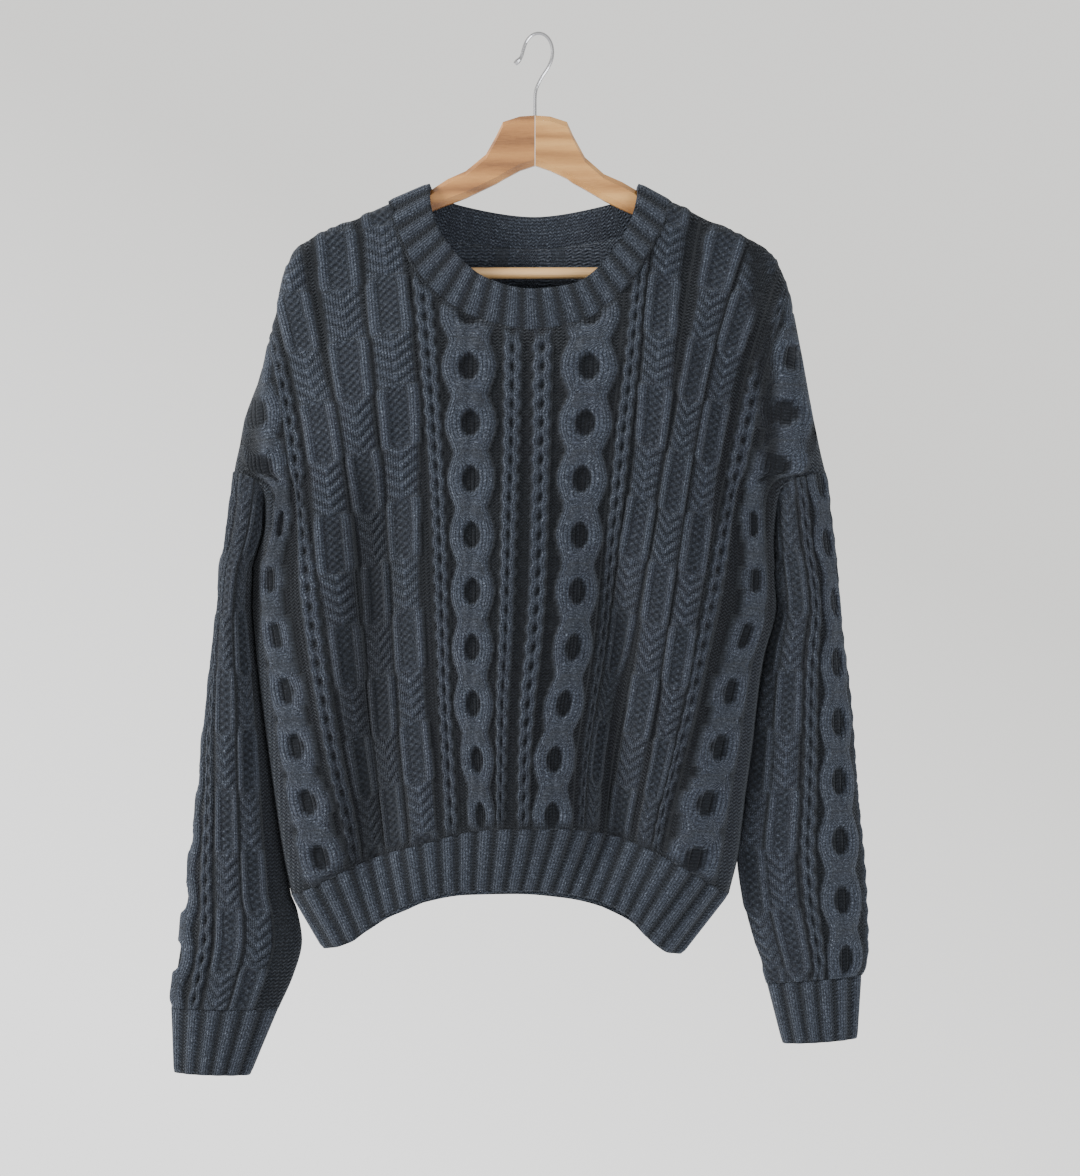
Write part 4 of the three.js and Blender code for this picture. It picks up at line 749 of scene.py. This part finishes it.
def panel_lines(front, tubes):
    sign = -1 if front else 1
    neck_drop = reader([(r[4], r[5]) for r in (neck_front if front else neck_back)], 0, 1)

    def place(x, drop):
        return np.stack([x, sign * (panel_depth(x, drop, front) + SEAM / 2), -drop], -1)

    halves = []
    for side in SIDES:
        def panel_top(x):
            return np.where((x > NECK_LEFT) & (x < NECK_RIGHT), neck_drop(x), side.shoulder_drop(x))

        counts = [max(4, round(w / FINE)) for w in COLUMN_SPREAD]
        counts.append(max(3, round(STRIP_SPREAD / FINE)))
        places = [j + i / n for j, n in enumerate(counts) for i in range(n)]
        lines = []
        for number, v in enumerate(places if side.sign < 0 else places[1:]):
            sag = row_sag(v)

            def path(d):
                return side.line_x(v, d)

            top = first_crossing(panel_top, path, *TOP_RANGE)
            end = first_crossing(lambda x: rib_top_of(x, front), path, *END_RANGE) - RIB_GAP
            neck = NECK_LEFT < float(path(top)) < NECK_RIGHT
            drops = rows_between(RING_DROP + sag, ROW, top, end)
            x = path(drops)
            k = (drops - RING_DROP - sag) / ROW
            j = int(v)
            if j < len(COLUMN_NAMES):
                centre = np.interp(drops, side.drops, side.centres[j])
                left = np.interp(drops, side.drops, side.bounds[j])
                right = np.interp(drops, side.drops, side.bounds[j + 1])
                width = 2 * np.minimum(np.abs(centre - left), np.abs(right - centre))
                f = width / COLUMN_WIDTH[j]
                h, across, knit, moss = cable(COLUMN_NAMES[j], side.sign * (x - centre), k, f)
            else:
                h, across, knit, moss = RELIEF["strip"] + 0 * k, x / STITCH, 0 * k, 0 * k
            pinch = mix(step(0, 16, np.abs(x - side.edge_x(drops))), 1, step(500, 560, drops))
            fade = step(0, 14, drops - top) * step(0, 12, end - drops)
            low, high = WELT_HEIGHT["panel"], WELT_HEIGHT["shoulder"]
            seam = low if neck else np.where(drops > 500, low, high)
            h = mix(THIN, mix(seam, 1, fade) * h, pinch)
            beside = v > 6.5
            kept = kept_rows(len(drops), 4, 4) | (beside & (drops < 520))
            level = np.zeros(len(drops), bool)
            level[0] = not neck
            # painted shade: the yarn is darkened in the hollows of its relief and deep in the panel's folds
            painted_fold_shade = FOLD_PAINTED_SHADE * fold_shade_share(x, drops, front)
            lines.append({
                "p": place(x, drops), "t": k, "h": h,
                "across": across, "along": k * ROW_STITCHES, "knit": knit, "moss": moss,
                "painted_shade": np.clip(mix(1 - h / SHADE_HEIGHT, 1, painted_fold_shade), 0, 1),
                "kept": kept, "level": level,
                "keep": number % 3 == 0 or beside or v == 0,
            })
        tube = tubes[side.name]
        n = len(tube)
        order = [i if front else (n - i) % n for i in range(n // 2 + 1)]
        loop = np.array([tube[i]["p"][0] for i in order])
        loop[[0, -1], 1] = sign * SEAM / 2
        end = first_crossing(lambda x: rib_top_of(x, front), side.edge_x, *END_RANGE) - RIB_GAP
        sag = row_sag(9)
        lower = rows_between(RING_DROP + sag, ROW, ARMHOLE[-1][1] + FINE, end)
        seam = np.stack([side.edge_x(lower), np.full(len(lower), sign * SEAM / 2), -lower], -1)
        p = np.concatenate([loop, seam])
        k = (-p[:, 2] - RING_DROP - sag) / ROW
        h = np.concatenate([[tube[i]["h"][0] for i in order], np.full(len(lower), SEAM_RISE)])
        level = np.zeros(len(p), bool)
        level[[0, len(loop) - 1]] = True
        level[len(loop):] = True
        # painted shade along the armhole and side seam
        lines.append({
            "p": p, "t": k, "h": h,
            "across": p[:, 0] / STITCH, "along": k * ROW_STITCHES, "knit": 0 * k, "moss": 0 * k,
            "painted_shade": 0 * k + 0.8, "kept": np.ones(len(p), bool), "level": level, "keep": True,
            "weld": [(side.name, i) for i in order],
        })
        halves.append(lines)
    return halves[0][::-1] + halves[1]


# Ribbing
def evenly(curve, count):
    """Places along a curve that lie an equal length apart."""
    f = np.linspace(0, 1, 1201)
    p = curve(f)
    length = np.concatenate([[0], np.cumsum(np.linalg.norm(np.diff(p, axis=0), axis=1))])
    return np.interp(np.linspace(0, length[-1], count + 1), length, f)


def rib_line(p, q, rows, phase, pitch, edge_first, edge_last, every, extra=0.0):
    """One line of ribbing from p to q. The phase counts ribs, and a rib is highest half way."""
    w = np.linspace(0, 1, rows)
    part = phase - math.floor(phase)
    swell = (0.5 - 0.5 * math.cos(2 * math.pi * part)) ** 0.75
    length = float(np.linalg.norm(q - p))
    h = (RELIEF["rib"] * swell - 0.3 + extra) * mix(edge_first, 1, step(0, 6, w * length))
    h = h * mix(edge_last, 1, step(0, 5, (1 - w) * length))
    knit = np.full(rows, float(abs(part - 0.5) < 0.3))
    # painted shade in the grooves between the ribs
    return {
        "p": p + (q - p) * w[:, None], "t": w, "h": h,
        "across": np.full(rows, (part - 0.5) * pitch / STITCH + 1), "along": w * length / STITCH_ROW,
        "knit": knit, "moss": 0 * w, "painted_shade": np.full(rows, 0.9 * (1 - swell)),
        "kept": kept_rows(rows, 5), "keep": every,
    }


def hem_lines(front, panel):
    sign = -1 if front else 1
    xl, xr = panel[0]["p"][-1, 0], panel[-1]["p"][-1, 0]

    def top(f):
        x = mix(xl, xr, f)
        depth = panel_depth(x, rib_top_of(x, front), front) * np.where((f <= 0) | (f >= 1), 0, 1)
        return np.stack([x, sign * (depth + SEAM / 2), -rib_top_of(x, front) + HEM_OVERLAP], -1)

    def bottom(f):
        x = mix(*HEM_ENDS, f)
        d = np.minimum(x - HEM_ENDS[0], HEM_ENDS[1] - x)
        depth = round_edge(d, *HEM_EDGE) + (9 if front else 6) * step(0, 90, d)
        drop = hem_front(x) + (0 if front else BACK_HEM_LOWER * hem_middle(x))
        return np.stack([x, sign * (depth + SEAM / 2), -drop], -1)

    count = RIB_PARTS * HEM_RIBS
    a, b = top(evenly(top, count)), bottom(evenly(bottom, count))
    lines = []
    for n in range(count + 1):
        line = rib_line(a[n], b[n], HEM_ROWS, n / RIB_PARTS, HEM_PITCH, 0.7, 0.35, n % 4 == 0)
        if n in (0, count):
            line["h"] = line["h"] * 0 + SEAM_RISE
            line["level"] = np.ones(len(line["t"]), bool)
        lines.append(line)
    return lines


def neckband_lines():
    ring = [*NECK, (360, *NECK[0][1:])]
    wide = [(r[0] - 360, *r[1:]) for r in ring[-4:-1]] + ring + [(367, *NECK[1][1:])]
    read = [reader(wide, 0, c) for c in range(1, 7)]

    def edge(f, c):
        return np.stack([read[c](360 * f), read[c + 2](360 * f), -read[c + 1](360 * f)], -1)

    count = RIB_PARTS * NECK_RIBS
    f = evenly(lambda v: (edge(v, 0) + edge(v, 3)) / 2, count)[:count]
    a, b = edge(f, 0), edge(f, 3)
    lines = []
    for n in range(count):
        length = np.linalg.norm(b[n] - a[n])
        p = mix(a[n], b[n], NECK_START / length)
        q = mix(a[n], b[n], 1 + NECK_PAST_SEAM / length)
        line = rib_line(p, q, NECK_ROWS, n / RIB_PARTS, NECK_PITCH, 0.5, 0.5, n % 2 == 0, 0.5)
        line["kept"] = kept_rows(len(line["t"]), 3)
        # painted shade where the neckband meets the panels
        line["painted_shade"][-2:] = 0.9
        line["h"] = line["h"] * NECK_RELIEF
        lines.append(line)
    return lines


def cuff_lines(s):
    def top(f):
        angle = 2 * math.pi * f
        p = s.point(angle, s.end_of(angle))
        p[:, 2] -= SEAM
        return p

    def end(f):
        c = np.cos(2 * math.pi * f)
        a = s.cuff[2][0] - s.sign * CUFF_INSET
        b = s.cuff[3][0] + s.sign * CUFF_INSET
        drop = mix(s.cuff[2][1], s.cuff[3][1], (1 - c) / 2)
        y = -CUFF_HALF_DEPTH * np.sin(2 * math.pi * f)
        return np.stack([(a + b) / 2 + (a - b) / 2 * c, y, -drop], -1)

    count = CUFF_PARTS * CUFF_RIBS
    a, b = top(evenly(top, count)[:count]), end(evenly(end, count)[:count])
    return [
        rib_line(a[n], b[n], CUFF_ROWS, n / CUFF_PARTS, CUFF_PITCH, 0.6, 0.35, n % 3 == 0)
        for n in range(count)
    ]


tubes = {name: sleeve_lines(s) for name, s in SLEEVES.items()}
front_lines = panel_lines(True, tubes)
back_lines = panel_lines(False, tubes)
TOWARD = np.array([0, -1.0, 0])
PIECES = {
    "front": Piece("front_knit", front_lines, False, TOWARD),
    "back": Piece("back_knit", back_lines, False, -TOWARD),
    "sleeve_left": Piece("sleeve_left_knit", tubes["left"], True),
    "sleeve_right": Piece("sleeve_right_knit", tubes["right"], True),
    "hem_rib_front": Piece("hem_rib_front_knit", hem_lines(True, front_lines), False, TOWARD),
    "hem_rib_back": Piece("hem_rib_back_knit", hem_lines(False, back_lines), False, -TOWARD),
    "neckband": Piece("neckband_knit", neckband_lines(), True),
    "cuff_left": Piece("cuff_left_knit", cuff_lines(SLEEVES["left"]), True),
    "cuff_right": Piece("cuff_right_knit", cuff_lines(SLEEVES["right"]), True),
}


def weld_armholes():
    """Both pieces at an armhole point in one direction along the seam, so that they meet."""
    starts = {}
    for name in ("left", "right"):
        tube = PIECES["sleeve_" + name]
        for i, line in enumerate(tube.lines):
            starts[(name, i)] = [(tube, int(line["id"][0]))]
    for piece in (PIECES["front"], PIECES["back"]):
        for line in piece.lines:
            for place, i in zip(line.get("weld", []), line["id"]):
                starts[place].append((piece, int(i)))
    for group in starts.values():
        normal = sum(piece.normal[i] for piece, i in group)
        if len(group) > 2:
            normal[1] = 0
            if -group[0][0].p[group[0][1], 2] > UNDERARM_DROP:
                normal[2] -= UNDERARM_PULL
        normal = normal / np.linalg.norm(normal)
        for piece, i in group:
            piece.normal[i] = normal


weld_armholes()


# Materials
class Nodes:
    """The node network of a material or world, written as sums."""

    def __init__(self, owner):
        owner.use_nodes = True
        self.owner, self.tree = owner, owner.node_tree
        self.shader = self.tree.nodes.get("Principled BSDF")

    def add(self, kind, **settings):
        node = self.tree.nodes.new(kind)
        for key, value in settings.items():
            setattr(node, key, value)
        return node

    def feed(self, socket, value):
        if hasattr(value, "is_output"):
            self.tree.links.new(value, socket)
        elif socket.type == "RGBA":
            socket.default_value = (*value[:3], 1)
        else:
            socket.default_value = value

    def set(self, node, **inputs):
        for key, value in inputs.items():
            self.feed(node.inputs[key.replace("_", " ")], value)
        return node

    def math(self, operation, *values):
        node = self.add("ShaderNodeMath", operation=operation)
        for socket, value in zip(node.inputs, values):
            self.feed(socket, value)
        return node.outputs[0]

    def attribute(self, name):
        return self.add("ShaderNodeAttribute", attribute_name=name).outputs["Fac"]

    def noise(self, scale, detail=2.0, vector=None, roughness=0.5):
        node = self.add("ShaderNodeTexNoise")
        self.set(node, Scale=scale, Detail=detail, Roughness=roughness)
        self.set(node, Vector=vector if vector is not None else self.place())
        return node.outputs["Fac"]

    def place(self):
        return self.add("ShaderNodeTexCoord").outputs["Object"]

    def blend(self, factor, a, b, kind="MIX"):
        node = self.add("ShaderNodeMix", data_type="RGBA", blend_type=kind)
        for place, value in ((0, factor), (6, a), (7, b)):
            self.feed(node.inputs[place], value)
        return node.outputs[2]

    def ramp(self, factor, stops):
        node = self.add("ShaderNodeValToRGB")
        self.set(node, Fac=factor)
        elements = node.color_ramp.elements
        while len(elements) < len(stops):
            elements.new(0.5)
        for element, (at, color) in zip(elements, stops):
            element.position = at
            element.color = (*color, 1)
        return node.outputs["Color"]


# columns: place on the ramp, colour
YARN = [
    (0.3, (0.0031, 0.0039, 0.0056)),
    (0.44, (0.0124, 0.0147, 0.0206)),
    (0.58, (0.0309, 0.0362, 0.0474)),
    (0.73, (0.122, 0.135, 0.158)),
]
WOOD = {
    "hanger_arm_left": ("wood_darker", 0.45, [
        (0.3, (0.085, 0.03, 0.006)), (0.5, (0.195, 0.08, 0.019)), (0.72, (0.29, 0.132, 0.034)),
    ]),
    "hanger_arm_right": ("wood_lighter", -0.45, [
        (0.3, (0.17, 0.072, 0.016)), (0.5, (0.275, 0.13, 0.034)), (0.72, (0.365, 0.195, 0.058)),
    ]),
    "trouser_bar": ("wood_bar", 0.0, [
        (0.3, (0.24, 0.125, 0.044)), (0.5, (0.36, 0.215, 0.088)), (0.72, (0.45, 0.285, 0.135)),
    ]),
}


def wool():
    n = Nodes(bpy.data.materials.new("heather_wool"))
    m = n.math
    across, along = n.attribute("across"), n.attribute("along")
    wobble = m("MULTIPLY", m("SUBTRACT", n.noise(160), 0.5), 0.5)
    along = m("ADD", along, wobble)
    # a knit stitch is two slanting legs, its rows bent to a V
    leg = m("MULTIPLY", m("ABSOLUTE", m("SUBTRACT", m("FRACT", across), 0.5)), 2)
    turn = m("MULTIPLY", m("ADD", along, m("MULTIPLY", leg, 0.45)), 2 * math.pi)
    row = m("MULTIPLY_ADD", m("COSINE", turn), 0.5, 0.5)
    wale = m("SINE", m("MULTIPLY", leg, math.pi))
    knit = m("MULTIPLY", m("POWER", m("MAXIMUM", wale, 0.001), 0.6), m("MULTIPLY_ADD", row, 0.5, 0.5))
    # purl bumps lie in waves, moss stitch is a chequer of bumps
    wave = m("MULTIPLY", m("COSINE", m("MULTIPLY", across, 2 * math.pi)), 0.2)
    purl = m("MULTIPLY_ADD", m("COSINE", m("MULTIPLY", m("ADD", along, wave), 2 * math.pi)), 0.42, 0.42)
    check = [m("SINE", m("MULTIPLY", value, math.pi)) for value in (across, along)]
    check = m("MULTIPLY", *check)
    moss = m("MULTIPLY_ADD", check, 0.5, 0.5)
    is_knit, is_moss = n.attribute("knit"), n.attribute("moss")
    ground = m("ADD", m("MULTIPLY", purl, m("SUBTRACT", 1, is_moss)), m("MULTIPLY", moss, is_moss))
    stitch = m("ADD", m("MULTIPLY", knit, is_knit), m("MULTIPLY", ground, m("SUBTRACT", 1, is_knit)))
    fibre = n.noise(1100, 3, roughness=0.7)
    height = m("ADD", stitch, m("MULTIPLY", fibre, 0.35))
    bump = n.set(n.add("ShaderNodeBump"), Strength=1.0, Distance=0.0014, Height=height)
    # dark blue grey yarn with lighter and darker fibres
    color = n.ramp(n.noise(700, 4, roughness=0.75), YARN)
    color = n.blend(m("MULTIPLY", n.noise(45, 3), 0.5), color, (0.5, 0.56, 0.62), "OVERLAY")
    # painted shade: darker colour in the hollows between stitches, and by the painted_shade attribute in the
    # relief's hollows, at seams and in the folds
    shade = m("MULTIPLY_ADD", stitch, 0.86, 0.4)
    shade = m("MULTIPLY", shade, m("MULTIPLY_ADD", n.attribute("painted_shade"), -0.85, 1))
    color = n.blend(1, color, shade, "MULTIPLY")
    s = n.shader
    n.set(s, Base_Color=color, Roughness=0.95, Normal=bump.outputs["Normal"])
    s.inputs["Specular IOR Level"].default_value = 0.1
    s.inputs["Sheen Weight"].default_value = 0.1
    s.inputs["Sheen Roughness"].default_value = 0.55
    s.inputs["Sheen Tint"].default_value = (0.55, 0.6, 0.68, 1)
    return n.owner


def wood(name, slope, tones):
    """Lacquered wood whose grain runs along X, tilted by a slope."""
    n = Nodes(bpy.data.materials.new(name))
    m = n.math
    turned = n.add("ShaderNodeMapping")
    turned.inputs["Rotation"].default_value = (0, slope, 0)
    turned.inputs["Scale"].default_value = (1.0, 14, 14)
    n.tree.links.new(n.place(), turned.inputs["Vector"])
    v = turned.outputs["Vector"]
    grain = n.noise(9, 6, v, 0.62)
    rings = n.add("ShaderNodeTexWave", wave_type="BANDS", bands_direction="Z")
    n.set(rings, Scale=1.1, Distortion=9.0, Detail=3.0, Vector=v)
    fine = n.noise(120, 3, v, 0.6)
    mixed = m("ADD", m("MULTIPLY", grain, 0.6), m("MULTIPLY", rings.outputs["Fac"], 0.25))
    mixed = m("ADD", mixed, m("MULTIPLY", fine, 0.2))
    color = n.ramp(mixed, tones)
    bump = n.set(n.add("ShaderNodeBump"), Strength=0.25, Distance=0.0004, Height=fine)
    n.set(n.shader, Base_Color=color, Normal=bump.outputs["Normal"])
    n.set(n.shader, Roughness=m("MULTIPLY_ADD", fine, 0.2, 0.32))
    n.shader.inputs["Coat Weight"].default_value = 0.2
    n.shader.inputs["Coat Roughness"].default_value = 0.22
    return n.owner


def wire():
    n = Nodes(bpy.data.materials.new("polished_wire"))
    scratches = n.noise(700, 3)
    n.set(n.shader, Base_Color=(0.3, 0.3, 0.31, 1), Metallic=1.0)
    n.set(n.shader, Roughness=n.math("MULTIPLY_ADD", scratches, 0.16, 0.12))
    bump = n.set(n.add("ShaderNodeBump"), Strength=0.1, Distance=0.0002, Height=scratches)
    n.set(n.shader, Normal=bump.outputs["Normal"])
    return n.owner


def dress(node, material):
    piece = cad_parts[node]
    piece.data.materials.clear()
    piece.data.materials.append(material)


yarn = wool()
for node, piece in PIECES.items():
    obj = piece.build()
    obj.data.materials.append(yarn)
    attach(obj, "root")
    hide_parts(node)
    area = piece.area() / 1e6
    if node in ("front", "back"):
        size = (piece.p.max(0) - piece.p.min(0)) / 1000

for node, tones in WOOD.items():
    dress(node, wood(*tones))
dress("hook", wire())


# Light and camera
MIDDLE = (0, 0, -0.4938)
EYE_DISTANCE = 2.0
VIEW_WIDTH = 1.05
# columns: name, place, size, power, colour
LIGHTS = [
    ("key", (-2.4, -1.0, 0.5), 0.9, 225, (1, 0.99, 0.97)),
    ("side", (1.5, -1.6, -0.9), 1.2, 58, (0.95, 0.97, 1)),
]
# columns: place on the ramp, colour
WALL_LIGHT = [(0.24, (1.0, 1.0, 1.0)), (0.6, (0.64, 0.635, 0.615))]
WALL_STRENGTH = 1.9
WALL_TOWARD = (0.5, 0, 0.9)

for name, place, size, power, color in LIGHTS:
    data = bpy.data.lights.new(name, "AREA")
    data.size, data.energy, data.color = size, power, color
    lamp = bpy.data.objects.new(name, data)
    lamp.location = place
    way = Vector(MIDDLE) - Vector(place)
    lamp.rotation_euler = way.to_track_quat("-Z", "Y").to_euler()
    bpy.context.collection.objects.link(lamp)

# a pale room, darker to the upper right
world = bpy.data.worlds.new("pale_room")
bpy.context.scene.world = world
sky = Nodes(world)
toward = sky.add("ShaderNodeVectorMath", operation="DOT_PRODUCT")
sky.tree.links.new(sky.add("ShaderNodeTexCoord").outputs["Generated"], toward.inputs[0])
toward.inputs[1].default_value = WALL_TOWARD
wall = sky.ramp(sky.math("ADD", toward.outputs["Value"], 0.5), WALL_LIGHT)
sky.set(sky.tree.nodes["Background"], Color=wall, Strength=WALL_STRENGTH)

camera = bpy.data.cameras.new("camera")
camera.sensor_width = 36
camera.lens = camera.sensor_width * EYE_DISTANCE / VIEW_WIDTH
camera.clip_end = 50
eye = bpy.data.objects.new("camera", camera)
eye.location = (0, -EYE_DISTANCE, MIDDLE[2])
eye.rotation_euler = (math.pi / 2, 0, 0)
bpy.context.collection.objects.link(eye)
bpy.context.scene.camera = eye
